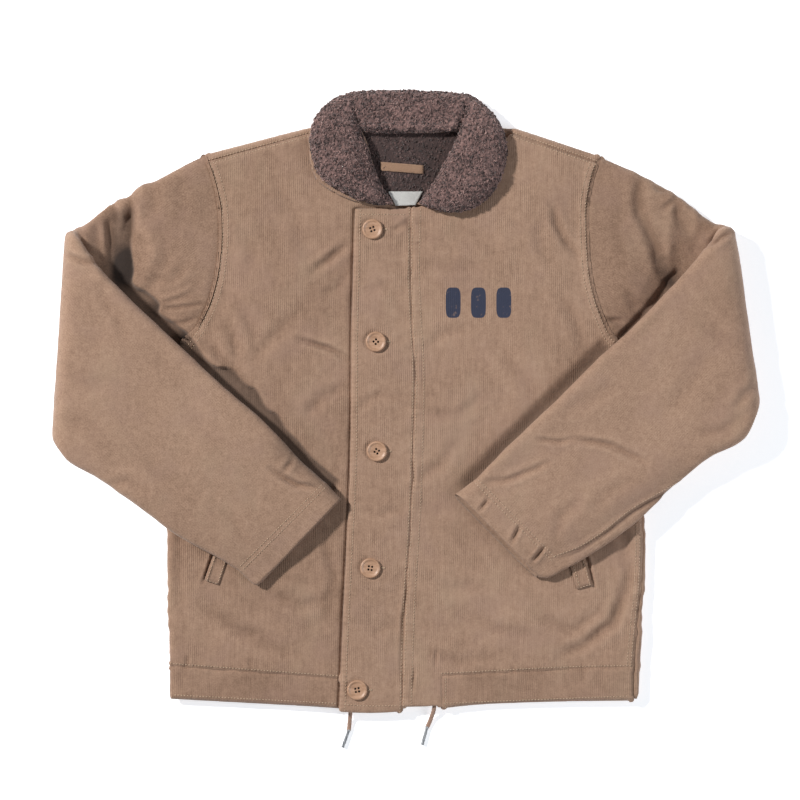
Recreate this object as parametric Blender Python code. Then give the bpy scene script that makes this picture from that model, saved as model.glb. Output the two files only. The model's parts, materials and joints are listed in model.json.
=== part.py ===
# Deck jacket laid flat on its back, the sleeves folded across the front.
# +X is the jacket's left side, +Y points to the collar, z = 0 is the surface under it.
# Names say the wearer's side. Tables and sizes are in millimetres.
import math
from collections import namedtuple

import bmesh
import bpy
from mathutils import Vector

MM = 0.001

# Walls of the pile-lined body, laid one on the other
BACK_WALL = 8.0
LAYER_GAP = 0.3
SEAM_GAP = 0.45
BODY_HEIGHT = 17.0
FRONT_FLOOR = BACK_WALL + LAYER_GAP
EDGE_LOW = 9.2
EDGE_RADIUS = 9.0
UNDER_RADIUS = 7.0
UNDER_LIFT = 5.0
HEM_RADIUS = 7.0
HEM_LOW = 12.0
SHOULDER_WRAP = 10.0
SHOULDER_SLOPE = 0.97
HEM_SAG = 11.0
HEM_SAG_FROM = -180.0
HEM_SAG_RUN = 130.0
HEM_LEAST = 0.9
CHANNEL_BOW = 0.6

# Fly of the front edge, five buttons
FLY_HEIGHT = 20.2
FLY_SEAM_HEIGHT = 17.3
FLY_UNDER = 13.8
FLY_UNDER_SEAM = 11.6
FLY_BOW = 2.0
FLY_EDGE_RISE = 1.6
FLY_EDGE_RADIUS = 3.0
FLY_ENDS = (-355, 221.5)
FLY_END_DROP = 1.8
UNDERLAP_STEP = 3.0
UNDERLAP_SHORT = 11.0
UNDERLAP_PAIR = 0.8
BUTTON_RADIUS = 11.7
BUTTON_PROFILE = [(0.0, 0.0), (9.4, 0.0), (11.7, 1.8), (10.9, 3.9), (9.3, 3.6), (8.3, 2.5), (0.0, 2.3)]
BUTTON_SIDES = 16
HOLE_RADIUS = 1.15
HOLE_OFFSET = 2.4
HOLE_SIDES = 6
HOLE_DEPTH = 12.0

# Sleeves, flattened tubes
SLEEVE_HEIGHT = 20.0
CUFF_HEIGHT = 15.0
SLIT = 0.6
FOLD_RADIUS = 1.5
FOREARM_REST = 19.4
FOLD_STEPS = 6
TUBE_ROUND = 0.055
SLIT_INSET = 0.06
ARM_LOWEST = 6.0

# Collar and neck
UNDERCOLLAR_WALL = 1.6
LINING_TOP = 13.0
LOOP_HEIGHT = 1.2
LABEL_HEIGHT = 0.6
PILE_LEAST = 1.5
UNDERCOLLAR_SHIFT = 0.03
LINING_DIP = 0.8

# Drawcord
CORD_RADIUS = 2.4
CORD_REST = CORD_RADIUS + 0.3
AGLET_RADIUS = 2.0
AGLET_LENGTH = 22.0
AGLET_SIDES = 12
AGLET_BEVEL = 0.5
CORD_POINTS = 8

Point = namedtuple("Point", "x y")

# Outer edge of the body from hem to armpit
EDGE_RIGHT = [Point(-271, -343), Point(-271.5, -303), Point(-273.5, -250), Point(-275, -182),
              Point(-275, -132), Point(-273, -60), Point(-268, 10), Point(-252, 66)]
EDGE_LEFT = [Point(268, -345), Point(268.5, -305), Point(272, -250), Point(273, -182),
             Point(273, -132), Point(271, -60), Point(265, 10), Point(244, 67)]
# Armhole seams from shoulder tip to armpit
ARMHOLE_RIGHT = [Point(-231, 284), Point(-221, 258), Point(-213, 225), Point(-212, 183),
                 Point(-217, 141), Point(-226, 110), Point(-240, 82), Point(-252, 66)]
ARMHOLE_LEFT = [Point(223, 282), Point(214, 259), Point(207.5, 224), Point(208, 184),
                Point(211, 144), Point(219, 112), Point(234, 77), Point(244, 67)]
NECK_RIGHT = Point(-101, 318)
NECK_LEFT = Point(122, 316)
# Side seam on the left, where the back wraps round to the front
SIDE_SEAM_LEFT = [Point(259.5, -345), Point(259.5, -305), Point(263, -262), Point(267, -223),
                  Point(269.5, -182), Point(269.5, -132), Point(267.5, -60), Point(261, 10), Point(239, 64)]
# Neckline seam under the collar leaves
NECKLINE_RIGHT = [Point(-24, 226.5), Point(-46, 246), Point(-57, 263), Point(-64, 288), Point(-103, 308)]
NECKLINE_LEFT = [Point(24, 226), Point(44, 237), Point(64, 263), Point(70, 284), Point(122.5, 305.5)]
# Free edge and seam of the fly, from the hem up
FLY_EDGE = [Point(-77, -353), Point(-73, -252), Point(-68, -153), Point(-64, -69), Point(-63, 25),
            Point(-63, 82.5), Point(-61, 150), Point(-59, 221)]
FLY_SEAM = [Point(-5, -355), Point(-1, -233), Point(4, -153), Point(7, -92), Point(10, 25),
            Point(6.5, 95), Point(4.5, 150), Point(6, 221)]
# Seam of the hem channel and the hem's lower edge
CHANNEL_RIGHT = [Point(-272, -302.5), Point(-10, -322)]
CHANNEL_LEFT = [Point(-5, -316), Point(41, -314), Point(177, -307), Point(260, -305)]
HEM_LINE = [Point(-271, -341), Point(-122, -349), Point(-76, -352), Point(-3, -354.5), Point(42, -352),
            Point(85, -347), Point(177, -344), Point(268, -343)]
CHANNEL_END_X = 41.0

# Stations across a panel from its rounded and its plain edges, rows along the panels
ROUND_STEPS = [0.0, 1.2, 3.5, 9.0]
PLAIN_STEPS = [0.0, 9.0]
FRONT_STEPS = [0.0, 2.0]
BODY_COLUMNS = 13
FRONT_COLUMNS = 8
CHANNEL_COLUMNS = 6
HEM_ROWS = [3.4, 5.5, 10.5]
BODY_ROWS = [-305, -277, -250, -216, -182, -132, -95, -60, -25, 10, 40, 66]
WRAP_STEPS = [10.0, 5.5, 2.0, 0.0]
CHANNEL_ROWS = [0.0, 0.08, 0.22, 0.5, 0.8, 1.0]
FLY_ROWS = [-355, -351, -340, -305, -262, -233, -194, -153, -122, -92, -35, 25, 60, 95, 122, 150, 185,
            218, 221.5]
# y at the right front's outer edge, and y where it ends under the fly or at the neckline
RIGHT_ARM_ROWS = [(82, 90), (110, 125), (141, 158), (183, 195), (220, 222.8)]
RIGHT_NECK_ROWS = [225, 241, 258, 267, 273.6]
# y at the fly seam and at the side seam or armhole of the left front
LEFT_FRONT_ROWS = [(-350, -344), (-345, -339), (-330, -322), (-312, -305), (-287, -283), (-262, -262),
                   (-233, -223), (-194, -182), (-153, -157), (-122, -132), (-92, -100), (-55, -60), (-15, -22),
                   (25, 10), (62, 40), (80, 63.5), (95, 77), (122, 112), (150, 144), (185, 184), (221, 215)]
LEFT_NECK_ROWS = [224, 240, 259, 266, 271.3]

# Outlines of the prisms cut away: space over the back, channel, cord notches, left hem
SPACE_START = [(-320, -420), (-300, 255), (-229, 274.5), (-103, 308.5), (-101, 350), (121.5, 350),
               (122.5, 306), (224, 272), (320, 245), (320, 64)]
SPACE_END = [(259.5, -420)]
CHANNEL_SPACE = [(320, -303), (320, -420)]
NOTCH_RIGHT = [(-68.5, -365), (-68.5, -346), (-58.5, -346), (-58.5, -365)]
NOTCH_LEFT = [(27.5, -365), (27.5, -344), (37.5, -344), (37.5, -365)]
NOTCH_LEFT_TOP = 13.8
LEFT_TRIM = [(-30, -420), (-30, -354.9), (-3, -354.9), (44, -352.4), (44, -420)]
CUTTER_TOP = 60
CUTTER_FLOOR = -420

# Largest folds of the body: ends, half width and depth, ridges with a negative depth
Fold = namedtuple("Fold", "x0 y0 x1 y1 width depth")
BODY_FOLDS = [
    Fold(-116, 73, -68, 47, 12, 2.0),
    Fold(-104, 150, -70, 178, 12, 1.6),
    Fold(169, 224, 194, 169, 13, 2.0),
    Fold(177, -291, 236, -252, 14, 2.2),
    Fold(236, -252, 262, -191, 12, 1.6),
    Fold(-190, 60, -235, 20, 14, 1.6),
    Fold(60, 150, 120, 40, 22, 1.2),
    Fold(-180, -250, -130, -285, 14, 1.6),
]
# Upper arm: the pit beside the forearm and the creases that run to it
ARM_FOLDS_RIGHT = [
    Fold(-316, 236, -322, 178, 9, 8.0),
    Fold(-342, 212, -337, 178, 8, 5.0),
    Fold(-276, 106, -238, 111, 6, 3.0),
]
ARM_FOLDS_LEFT = [
    Fold(270, 255, 267, 215, 8, 4.0),
    Fold(267, 215, 290, 160, 10, 6.0),
    Fold(312, 236, 318, 196, 8, 4.0),
    Fold(226, 96, 248, 92, 6, 3.0),
]
FOREARM_FOLDS_RIGHT = [
    Fold(-150, -75, -105, -109, 9, 3.0),
    Fold(-126, -66, -136, -82, 7, 3.0),
    Fold(-300, -60, -240, -110, 18, 1.5),
]
FOREARM_FOLDS_LEFT = [
    Fold(150, -42, 190, -44, 8, 2.6),
    Fold(190, -44, 270, -69, 9, 2.2),
    Fold(92, -92, 160, -70, 9, 2.6),
    Fold(350, 60, 290, -20, 20, 1.5),
]
# Line where the upper arm drops into the pit, from the top edge to the armpit
PIT_RIGHT = [Point(-330, 218), Point(-317, 186), Point(-311, 160), Point(-310, 142), Point(-292, 124),
             Point(-279, 112), Point(-278, 97), Point(-262, 86), Point(-250, 70)]
PIT_LEFT = [Point(330, 214), Point(300, 190), Point(290, 165), Point(292, 140), Point(270, 116),
            Point(256, 96), Point(246, 84), Point(242, 70)]
PIT_HEIGHT = 7.5
PIT_SLOPE = 13.0

# Sleeve sections: top and bottom end of each, upper arm from the armhole outwards
Section = namedtuple("Section", "top_x top_y low_x low_y")
ARM_RIGHT = [
    Section(-262, 269.5, -281, 52), Section(-284, 255, -303, 34), Section(-304, 248, -322, 15),
    Section(-324, 235, -340, -6), Section(-345, 222, -357, -28), Section(-361, 211, -370, -46),
]
ARM_LEFT = [
    Section(250, 270, 270, 56), Section(272, 260, 292, 42), Section(291, 250, 312, 26),
    Section(308, 240, 331, 10), Section(326, 227, 349, -6), Section(342, 214, 365, -22),
]
# Forearm from the fold to the cuff
FOREARM_RIGHT = [
    Section(-353, 156, -360, -84), Section(-325, 128, -341, -96), Section(-292, 97, -322, -109),
    Section(-258, 64, -298, -126), Section(-217, 26, -272, -148), Section(-180, -6, -248, -163),
    Section(-148, -34, -222, -176), Section(-120, -67, -198, -190), Section(-95, -88, -184, -200),
    Section(-84, -100, -178, -206), Section(-73, -112, -172.5, -211),
]
FOREARM_LEFT = [
    Section(348, 184, 372, -54), Section(325, 156, 345, -64), Section(296, 126, 322, -86),
    Section(262, 87, 297, -104), Section(222, 56, 274, -131), Section(189, 18, 246, -152),
    Section(158, -11, 218, -171), Section(122, -43, 192, -188), Section(92, -74, 170, -198),
    Section(76, -91, 163, -203), Section(60, -107, 152, -200),
]
# Fold of each sleeve: two points of its visible outer edge, and the y of its ends
Crease = namedtuple("Crease", "x0 y0 x1 y1 top_in top_mid top_out low_in low_mid low_out")
CREASE_RIGHT = Crease(-391.5, 194, -407.04, -50, 203, 197, 186, -58, -50, -71)
CREASE_LEFT = Crease(377.3, 197, 406.8, -5, 205, 201, 196, -32, -12, -42)
LOWER_CUFF_RIGHT = 1.5
LOWER_CUFF_LEFT = 8.0

# Stations across a flattened sleeve's round edges, as shares of the armhole's height
EDGE_STATIONS = [0.0, 0.014, 0.035, 0.06]
STATION_SPACING = 0.15
STATION_APART = 0.015

# Collar rows from the right leaf's point round the neck: outer and inner edge, heights under it
CollarRow = namedtuple("CollarRow", "out_x out_y in_x in_y low_out low_in rise edging")
COLLAR_ROWS = [
    CollarRow(-31, 224, -14, 226, 17.5, 14.5, 8, 1.0),
    CollarRow(-53, 231, -21, 237, 17.5, 13.6, 14, 2.0),
    CollarRow(-78, 242, -28.5, 248, 17.5, 13.4, 17, 3.0),
    CollarRow(-97, 255, -35, 264, 17.5, 13.4, 18, 2.5),
    CollarRow(-105.5, 271, -40, 278, 17.5, 13.4, 18, 1.0),
    CollarRow(-110, 290, -45, 293, 17.5, 13.4, 18, -2.0),
    CollarRow(-110.5, 306, -50, 305, 17.5, 13.4, 17, -3.0),
    CollarRow(-107, 323, -53, 311, 17.5, 13.4, 16, -3.0),
    CollarRow(-95, 338, -51, 311, 12.0, 13.4, 16, -3.0),
    CollarRow(-78, 351, -46, 310, 7.0, 13.4, 16, -3.0),
    CollarRow(-57, 356, -38, 309, 6.0, 13.4, 15, -3.0),
    CollarRow(-30, 357, -20, 308.5, 6.0, 13.4, 14, -3.0),
    CollarRow(2, 357, 4, 308, 6.0, 13.4, 14, -3.0),
    CollarRow(34, 356, 28, 308, 6.0, 13.4, 14, -3.0),
    CollarRow(65, 354, 45, 309, 6.0, 13.4, 15, -3.0),
    CollarRow(84, 347, 53, 309.5, 7.0, 13.4, 16, -3.0),
    CollarRow(97, 334, 59, 309.5, 12.0, 13.4, 16, -3.0),
    CollarRow(109, 318, 60, 305, 17.5, 13.4, 16, -3.0),
    CollarRow(114, 300, 55, 293, 17.5, 13.4, 17, -3.0),
    CollarRow(117, 281, 47, 279, 17.5, 13.4, 18, -2.0),
    CollarRow(111, 259, 40, 266, 17.5, 13.4, 18, -2.0),
    CollarRow(99, 237, 34, 254, 17.5, 13.4, 17, -2.0),
    CollarRow(76, 219, 27, 243, 17.5, 13.4, 16, -2.0),
    CollarRow(57, 216, 20, 234, 17.5, 13.6, 14, -2.0),
    CollarRow(40, 218, 15.5, 229.5, 17.5, 14.0, 11, -1.0),
    CollarRow(25, 223, 12.5, 226.5, 17.5, 14.5, 8, -1.0),
]
# Across the collar from its outer to its inner edge: share of the rise, share of the step down
CollarStation = namedtuple("CollarStation", "across rise step")
COLLAR_STATIONS = [
    CollarStation(0.0, 0.28, 0.0), CollarStation(0.05, 0.62, 0.0), CollarStation(0.16, 0.9, 0.0),
    CollarStation(0.34, 1.0, 0.0), CollarStation(0.54, 1.0, 0.0), CollarStation(0.72, 0.96, 0.0),
    CollarStation(0.88, 0.84, 1.0), CollarStation(0.96, 0.62, 1.0), CollarStation(1.0, 0.32, 1.0),
]

# Neck lining between the neckline seams, row by row from the front up
LINING_ROWS = [
    Section(-10, 226, 9, 227), Section(-26, 234, 26, 236), Section(-44, 250, 46, 251),
    Section(-54, 264, 60, 264), Section(-58, 276, 64, 276), Section(-62, 290, 66, 290),
    Section(-64, 300, 68, 300), Section(-62, 312, 64, 312),
]
LOOP = Section(-29, 270, 20, 266)
LOOP_WIDTH = 10.0
LABEL = [Section(-12, 224.5, 11, 225.5), Section(-21, 241, 19.5, 241)]

# Pocket welts: foot and head of the mouth edge, width towards the centre
Welt = namedtuple("Welt", "foot_x foot_y head_x head_y width")
WELT_RIGHT = Welt(-231, -204, -178, -52, 17.0)
WELT_LEFT = Welt(212, -210, 166, -54, -17.0)
WELT_HEIGHT = 1.6

BUTTON_PLACES = [Point(-38.5, 197.5), Point(-34.5, 68.7), Point(-33.4, -56.7), Point(-40.9, -190.4),
                 Point(-55.8, -329.9)]

Route = namedtuple("Route", "x y z")
CORD_RIGHT = [Route(-63.2, -346.5, 10.65), Route(-63.4, -352, 10.6), Route(-63.9, -358, 8.2),
              Route(-64.5, -365, 4.6), Route(-65.0, -371, 3.0), Route(-65.8, -378, CORD_REST)]
CORD_LEFT = [Route(32.6, -344.5, 10.9), Route(32.4, -350, 10.8), Route(31.2, -356.5, 7.6),
             Route(29.0, -363, 4.2), Route(27.0, -368.5, 2.9), Route(24.2, -374.5, CORD_REST)]
AGLET_END_RIGHT = Point(-73, -398)
AGLET_END_LEFT = Point(18.6, -394.5)

# Colours: linear RGB, roughness, metallic
FINISHES = {
    "shell_cloth": ((0.36, 0.245, 0.17), 0.85, 0.0),
    "pile": ((0.17, 0.115, 0.105), 0.95, 0.0),
    "label_cloth": ((0.75, 0.74, 0.72), 0.8, 0.0),
    "button": ((0.50, 0.31, 0.19), 0.4, 0.0),
    "cord": ((0.10, 0.055, 0.035), 0.8, 0.0),
    "aglet": ((0.6, 0.6, 0.6), 0.25, 1.0),
}


def lerp(a, b, share):
    return a + (b - a) * share


def smooth(share):
    share = min(1.0, max(0.0, share))
    return share * share * (3 - 2 * share)


def x_at(line, y):
    """x of a mostly upright line of points at the height y."""
    rows = sorted(line, key=lambda p: p.y)
    for low, high in zip(rows, rows[1:]):
        if y <= high.y:
            return lerp(low.x, high.x, max(0.0, (y - low.y) / (high.y - low.y)))
    return rows[-1].x


def y_at(line, x):
    """y of a mostly level line of points at x."""
    for left, right in zip(line, line[1:]):
        if x <= right.x:
            return lerp(left.y, right.y, max(0.0, (x - left.x) / (right.x - left.x)))
    return line[-1].y


def segment_distance(x, y, x0, y0, x1, y1):
    """Distance from a point to a segment, and how far along it the foot lies."""
    length2 = (x1 - x0) ** 2 + (y1 - y0) ** 2
    share = ((x - x0) * (x1 - x0) + (y - y0) * (y1 - y0)) / length2
    share = min(1.0, max(0.0, share))
    return math.hypot(x - lerp(x0, x1, share), y - lerp(y0, y1, share)), share


def line_side(line, x, y):
    """Signed distance to a line of points, positive on the right of its direction."""
    best = None
    for a, b in zip(line, line[1:]):
        distance, _ = segment_distance(x, y, a.x, a.y, b.x, b.y)
        if best is None or distance < abs(best):
            side = (b.x - a.x) * (y - a.y) - (b.y - a.y) * (x - a.x)
            best = distance if side < 0 else -distance
    return best


def fold_depth(folds, x, y):
    """Depth of all folds at a point, softly rounded across and along each."""
    depth = 0.0
    for fold in folds:
        distance, _ = segment_distance(x, y, fold.x0, fold.y0, fold.x1, fold.y1)
        depth += fold.depth * math.exp(-(distance / fold.width) ** 2)
    return depth


def crown(distance, radius, low, high):
    """Quarter-round rise from an edge."""
    share = min(1.0, max(0.0, distance / radius))
    return lerp(low, high, math.sqrt(1 - (1 - share) ** 2))


# Materials

def material(name):
    if name in bpy.data.materials:
        return bpy.data.materials[name]
    colour, roughness, metallic = FINISHES[name]
    made = bpy.data.materials.new(name)
    made.use_nodes = True
    shader = made.node_tree.nodes["Principled BSDF"]
    shader.inputs["Base Color"].default_value = (*colour, 1.0)
    shader.inputs["Roughness"].default_value = roughness
    shader.inputs["Metallic"].default_value = metallic
    return made


# Building solids

def add_object(name, bm, finish):
    bmesh.ops.recalc_face_normals(bm, faces=bm.faces)
    mesh = bpy.data.meshes.new(name)
    bm.to_mesh(mesh)
    bm.free()
    mesh.materials.append(material(finish))
    mesh.shade_smooth()
    mesh.set_sharp_from_angle(angle=math.radians(50))
    made = bpy.data.objects.new(name, mesh)
    bpy.context.scene.collection.objects.link(made)
    return made


def slab(name, top, bottom, finish):
    """Closed solid between two grids of points with the same rows and columns."""
    bm = bmesh.new()
    grids = []
    for grid in (top, bottom):
        grids.append([[bm.verts.new(Vector(p) * MM) for p in row] for row in grid])
    upper, lower = grids
    rows = len(top)
    columns = len(top[0])
    for i in range(rows - 1):
        for j in range(columns - 1):
            bm.faces.new((upper[i][j], upper[i][j + 1], upper[i + 1][j + 1], upper[i + 1][j]))
            bm.faces.new((lower[i][j], lower[i + 1][j], lower[i + 1][j + 1], lower[i][j + 1]))
    for i in range(rows - 1):
        for j in (0, columns - 1):
            bm.faces.new((upper[i][j], upper[i + 1][j], lower[i + 1][j], lower[i][j]))
    for j in range(columns - 1):
        for i in (0, rows - 1):
            bm.faces.new((upper[i][j], upper[i][j + 1], lower[i][j + 1], lower[i][j]))
    return add_object(name, bm, finish)


def cutter(name, outline, low, high):
    """Upright prism that is only cut away from others."""
    bm = bmesh.new()
    floor = bm.faces.new([bm.verts.new(Vector((x, y, low)) * MM) for x, y in outline])
    walls = bmesh.ops.extrude_face_region(bm, geom=[floor])
    raised = [item for item in walls["geom"] if isinstance(item, bmesh.types.BMVert)]
    bmesh.ops.translate(bm, verts=raised, vec=(0, 0, (high - low) * MM))
    made = add_object(name, bm, "shell_cloth")
    made.hide_render = True
    made.display_type = "WIRE"
    return made


def cut(target, tool):
    boolean = target.modifiers.new("cut " + tool.name, "BOOLEAN")
    boolean.operation = "DIFFERENCE"
    boolean.object = tool


# Body

def shoulder_fold_y(x):
    """Height of the top fold, from each shoulder tip up to the neck."""
    tip_right = ARMHOLE_RIGHT[0]
    tip_left = ARMHOLE_LEFT[0]
    return y_at([Point(tip_right.x, tip_right.y), NECK_RIGHT, NECK_LEFT, Point(tip_left.x, tip_left.y)], x)


def body_edge_distance(x, y):
    """Distance to the body's rounded side edges; far away beside the armholes."""
    armpit = EDGE_RIGHT[-1].y
    side = min(x - x_at(EDGE_RIGHT, y), x_at(EDGE_LEFT, y) - x)
    return side + 40 * smooth((y - armpit + 30) / 30)


def body_top(x, y):
    """Height of the body's upper surface."""
    height = crown(body_edge_distance(x, y), EDGE_RADIUS, EDGE_LOW, BODY_HEIGHT)
    shoulder = (shoulder_fold_y(x) - y) * SHOULDER_SLOPE
    height = min(height, crown(shoulder, EDGE_RADIUS, EDGE_LOW, BODY_HEIGHT))
    hem = y - y_at(HEM_LINE, x)
    height = min(height, crown(hem, HEM_RADIUS, HEM_LOW, BODY_HEIGHT))
    return height - fold_depth(BODY_FOLDS, x, y) * smooth((height - EDGE_LOW) / (BODY_HEIGHT - EDGE_LOW))


def body_bottom(x, y):
    """Height of the underside, flat but for its rounded outer edges."""
    distance = body_edge_distance(x, y)
    distance = min(distance, (shoulder_fold_y(x) - y) * SHOULDER_SLOPE, y - y_at(HEM_LINE, x))
    return UNDER_LIFT - crown(distance, UNDER_RADIUS, 0.0, UNDER_LIFT)


def spread(left, right, edge_left, edge_right, count):
    """Stations between two x values, close together at the rounded edges."""
    near = [left + step for step in edge_left]
    far = [right - step for step in reversed(edge_right)]
    start = near[-1]
    end = far[0]
    middle = [lerp(start, end, k / (count + 1)) for k in range(1, count + 1)]
    return near + middle + far


def body_block():
    """Back with its wraps: the whole outline, full height, before the front is cut free."""
    top = []
    bottom = []
    armpit = EDGE_RIGHT[-1].y
    tip = ARMHOLE_RIGHT[0].y
    rows = [("hem", step) for step in HEM_ROWS]
    rows += [("side", y) for y in BODY_ROWS]
    pairs = list(zip(ARMHOLE_RIGHT, ARMHOLE_LEFT))[1:-1]
    rows += [("arm", (right.y, left.y)) for right, left in reversed(pairs)]
    rows += [("arm", (ARMHOLE_RIGHT[0].y - step, ARMHOLE_LEFT[0].y - step)) for step in WRAP_STEPS]
    for kind, value in rows:
        if kind == "hem":
            left_x = x_at(EDGE_RIGHT, -341) + 0.5
            right_x = x_at(EDGE_LEFT, -343) - 0.5
        elif kind == "side":
            left_x = x_at(EDGE_RIGHT, value)
            right_x = x_at(EDGE_LEFT, value)
        else:
            left_x = x_at(ARMHOLE_RIGHT, value[0])
            right_x = x_at(ARMHOLE_LEFT, value[1])
        line_top = []
        line_bottom = []
        for x in spread(left_x, right_x, ROUND_STEPS, ROUND_STEPS, BODY_COLUMNS):
            if kind == "hem":
                y = y_at(HEM_LINE, x) + value
            elif kind == "side":
                share = (value - BODY_ROWS[0]) / (armpit - BODY_ROWS[0])
                y = value - 8 * (1 - share) ** 3 * math.sin(math.pi * (x - left_x) / (right_x - left_x))
            else:
                share = (x - left_x) / (right_x - left_x)
                arch = smooth((value[0] - armpit) / (tip - SHOULDER_WRAP - armpit))
                tips = lerp(tip, ARMHOLE_LEFT[0].y, share)
                rise = shoulder_fold_y(lerp(ARMHOLE_RIGHT[0].x, ARMHOLE_LEFT[0].x, share)) - tips
                y = lerp(value[0], value[1], share) + rise * arch
            line_top.append((x, y, body_top(x, y)))
            line_bottom.append((x, y, body_bottom(x, y)))
        top.append(line_top)
        bottom.append(line_bottom)
    return slab("back", top, bottom, "shell_cloth")


def make_back():
    back = body_block()
    side = [(p.x, p.y) for p in reversed(SIDE_SEAM_LEFT)]
    cut(back, cutter("front space", SPACE_START + side + SPACE_END, BACK_WALL, CUTTER_TOP))


def underlap_top(x, y, height):
    """The right front runs on, thinner, under the fly."""
    edge = x_at(FLY_EDGE, y)
    seam = x_at(FLY_SEAM, y)
    if x < edge - UNDERLAP_STEP:
        return height
    share = (x - edge) / (seam - edge)
    under = lerp(FLY_UNDER, FLY_UNDER_SEAM, share) - LAYER_GAP
    return lerp(height, under, smooth((x - edge + UNDERLAP_STEP) / (UNDERLAP_STEP - UNDERLAP_PAIR)))


def underlap_spread(left, y):
    """Stations of the right front with a close pair at the fly's edge."""
    edge = x_at(FLY_EDGE, y)
    seam = x_at(FLY_SEAM, y)
    near = [left + step for step in ROUND_STEPS]
    middle = [lerp(near[-1], edge - UNDERLAP_STEP, k / 8) for k in range(1, 9)]
    return near + middle + [edge - UNDERLAP_PAIR, lerp(edge, seam, 0.45), seam - UNDERLAP_SHORT]


def right_front_rows():
    """Rows of the right front: y at the left end, y at the fly, for the grid below."""
    rows = []
    hem_left, hem_right = CHANNEL_RIGHT
    rows.append((Point(hem_left.x + 0.5, hem_left.y + 0.2), hem_right.y + 0.4))
    for y in BODY_ROWS[1:]:
        sag = HEM_SAG * smooth((HEM_SAG_FROM - y) / HEM_SAG_RUN)
        rows.append((Point(x_at(EDGE_RIGHT, y), y), y - sag))
    for y, end in RIGHT_ARM_ROWS:
        rows.append((Point(x_at(ARMHOLE_RIGHT, y), y), end))
    return rows


def make_right_front():
    top = []
    bottom = []
    for left, end_y in right_front_rows():
        line_top = []
        line_bottom = []
        stations = underlap_spread(left.x, end_y)
        for x in stations:
            y = lerp(left.y, end_y, (x - left.x) / (stations[-1] - left.x))
            height = underlap_top(x, y, body_top(x, y))
            line_top.append((x, y, height))
            line_bottom.append((x, y, FRONT_FLOOR))
        top.append(line_top)
        bottom.append(line_bottom)
    count = len(top[0])
    for arm_y, neck in zip(RIGHT_NECK_ROWS, NECKLINE_RIGHT):
        left = Point(x_at(ARMHOLE_RIGHT, arm_y), arm_y)
        line_top = []
        line_bottom = []
        for k in range(count):
            x = lerp(left.x, neck.x, k / (count - 1))
            y = lerp(left.y, neck.y, k / (count - 1))
            height = min(body_top(x, y), BODY_HEIGHT)
            line_top.append((x, y, height))
            line_bottom.append((x, y, FRONT_FLOOR))
        top.append(line_top)
        bottom.append(line_bottom)
    slab("front_right", top, bottom, "shell_cloth")


def make_left_front():
    rows = []
    for y, end in LEFT_FRONT_ROWS:
        edge = x_at(ARMHOLE_LEFT, end) if end > ARMHOLE_LEFT[-1].y else x_at(SIDE_SEAM_LEFT, end) - SEAM_GAP
        rows.append((Point(x_at(FLY_SEAM, y) + SEAM_GAP, y), Point(edge, end)))
    for neck, arm_y in zip(NECKLINE_LEFT, LEFT_NECK_ROWS):
        rows.append((neck, Point(x_at(ARMHOLE_LEFT, arm_y), arm_y)))
    top = []
    bottom = []
    for left, right in rows:
        line_top = []
        line_bottom = []
        for x in spread(left.x, right.x, FRONT_STEPS, ROUND_STEPS, FRONT_COLUMNS):
            y = lerp(left.y, right.y, (x - left.x) / (right.x - left.x))
            line_top.append((x, y, body_top(x, y)))
            line_bottom.append((x, y, FRONT_FLOOR))
        top.append(line_top)
        bottom.append(line_bottom)
    panel = slab("front_left", top, bottom, "shell_cloth")
    outline = [(CHANNEL_END_X, CUTTER_FLOOR), (CHANNEL_END_X, y_at(CHANNEL_LEFT, CHANNEL_END_X))]
    outline += [(p.x, p.y) for p in CHANNEL_LEFT[2:]]
    cut(panel, cutter("channel space", outline + CHANNEL_SPACE, 0, CUTTER_TOP))
    cut(panel, cutter("left cord notch", NOTCH_LEFT, 0, NOTCH_LEFT_TOP))
    cut(panel, cutter("left hem trim", LEFT_TRIM, 0, CUTTER_TOP))


def make_hem_channels():
    """Turned hems that carry the drawcord."""
    for name, seam, left, right in (("hem_channel_right", CHANNEL_RIGHT, -271.5, None),
                                    ("hem_channel_left", CHANNEL_LEFT, CHANNEL_END_X + LAYER_GAP, 259.0)):
        top = []
        bottom = []
        for share in CHANNEL_ROWS:
            line_top = []
            line_bottom = []
            if right is None:
                edge = FLY_EDGE[0].x
                stations = underlap_spread(left, lerp(y_at(HEM_LINE, edge), y_at(seam, edge), share))
            else:
                stations = spread(left, right, PLAIN_STEPS, ROUND_STEPS, CHANNEL_COLUMNS)
            for x in stations:
                y = lerp(y_at(HEM_LINE, x), y_at(seam, x) - LAYER_GAP, share)
                height = body_top(x, y) - CHANNEL_BOW * math.sin(math.pi * share)
                if right is None:
                    height = underlap_top(x, y, height)
                line_top.append((x, y, max(height, FRONT_FLOOR + HEM_LEAST)))
                line_bottom.append((x, y, FRONT_FLOOR))
            top.append(line_top)
            bottom.append(line_bottom)
        panel = slab(name, top, bottom, "shell_cloth")
        if right is None:
            cut(panel, cutter("right cord notch", NOTCH_RIGHT, 0, CUTTER_TOP))


def fly_top(x, y):
    edge = x_at(FLY_EDGE, y)
    seam = x_at(FLY_SEAM, y)
    share = (x - edge) / (seam - edge)
    full = lerp(FLY_HEIGHT, FLY_SEAM_HEIGHT, smooth((share - 0.3) / 0.7))
    return crown(x - edge, FLY_EDGE_RADIUS, FLY_UNDER + FLY_EDGE_RISE, full)


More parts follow.
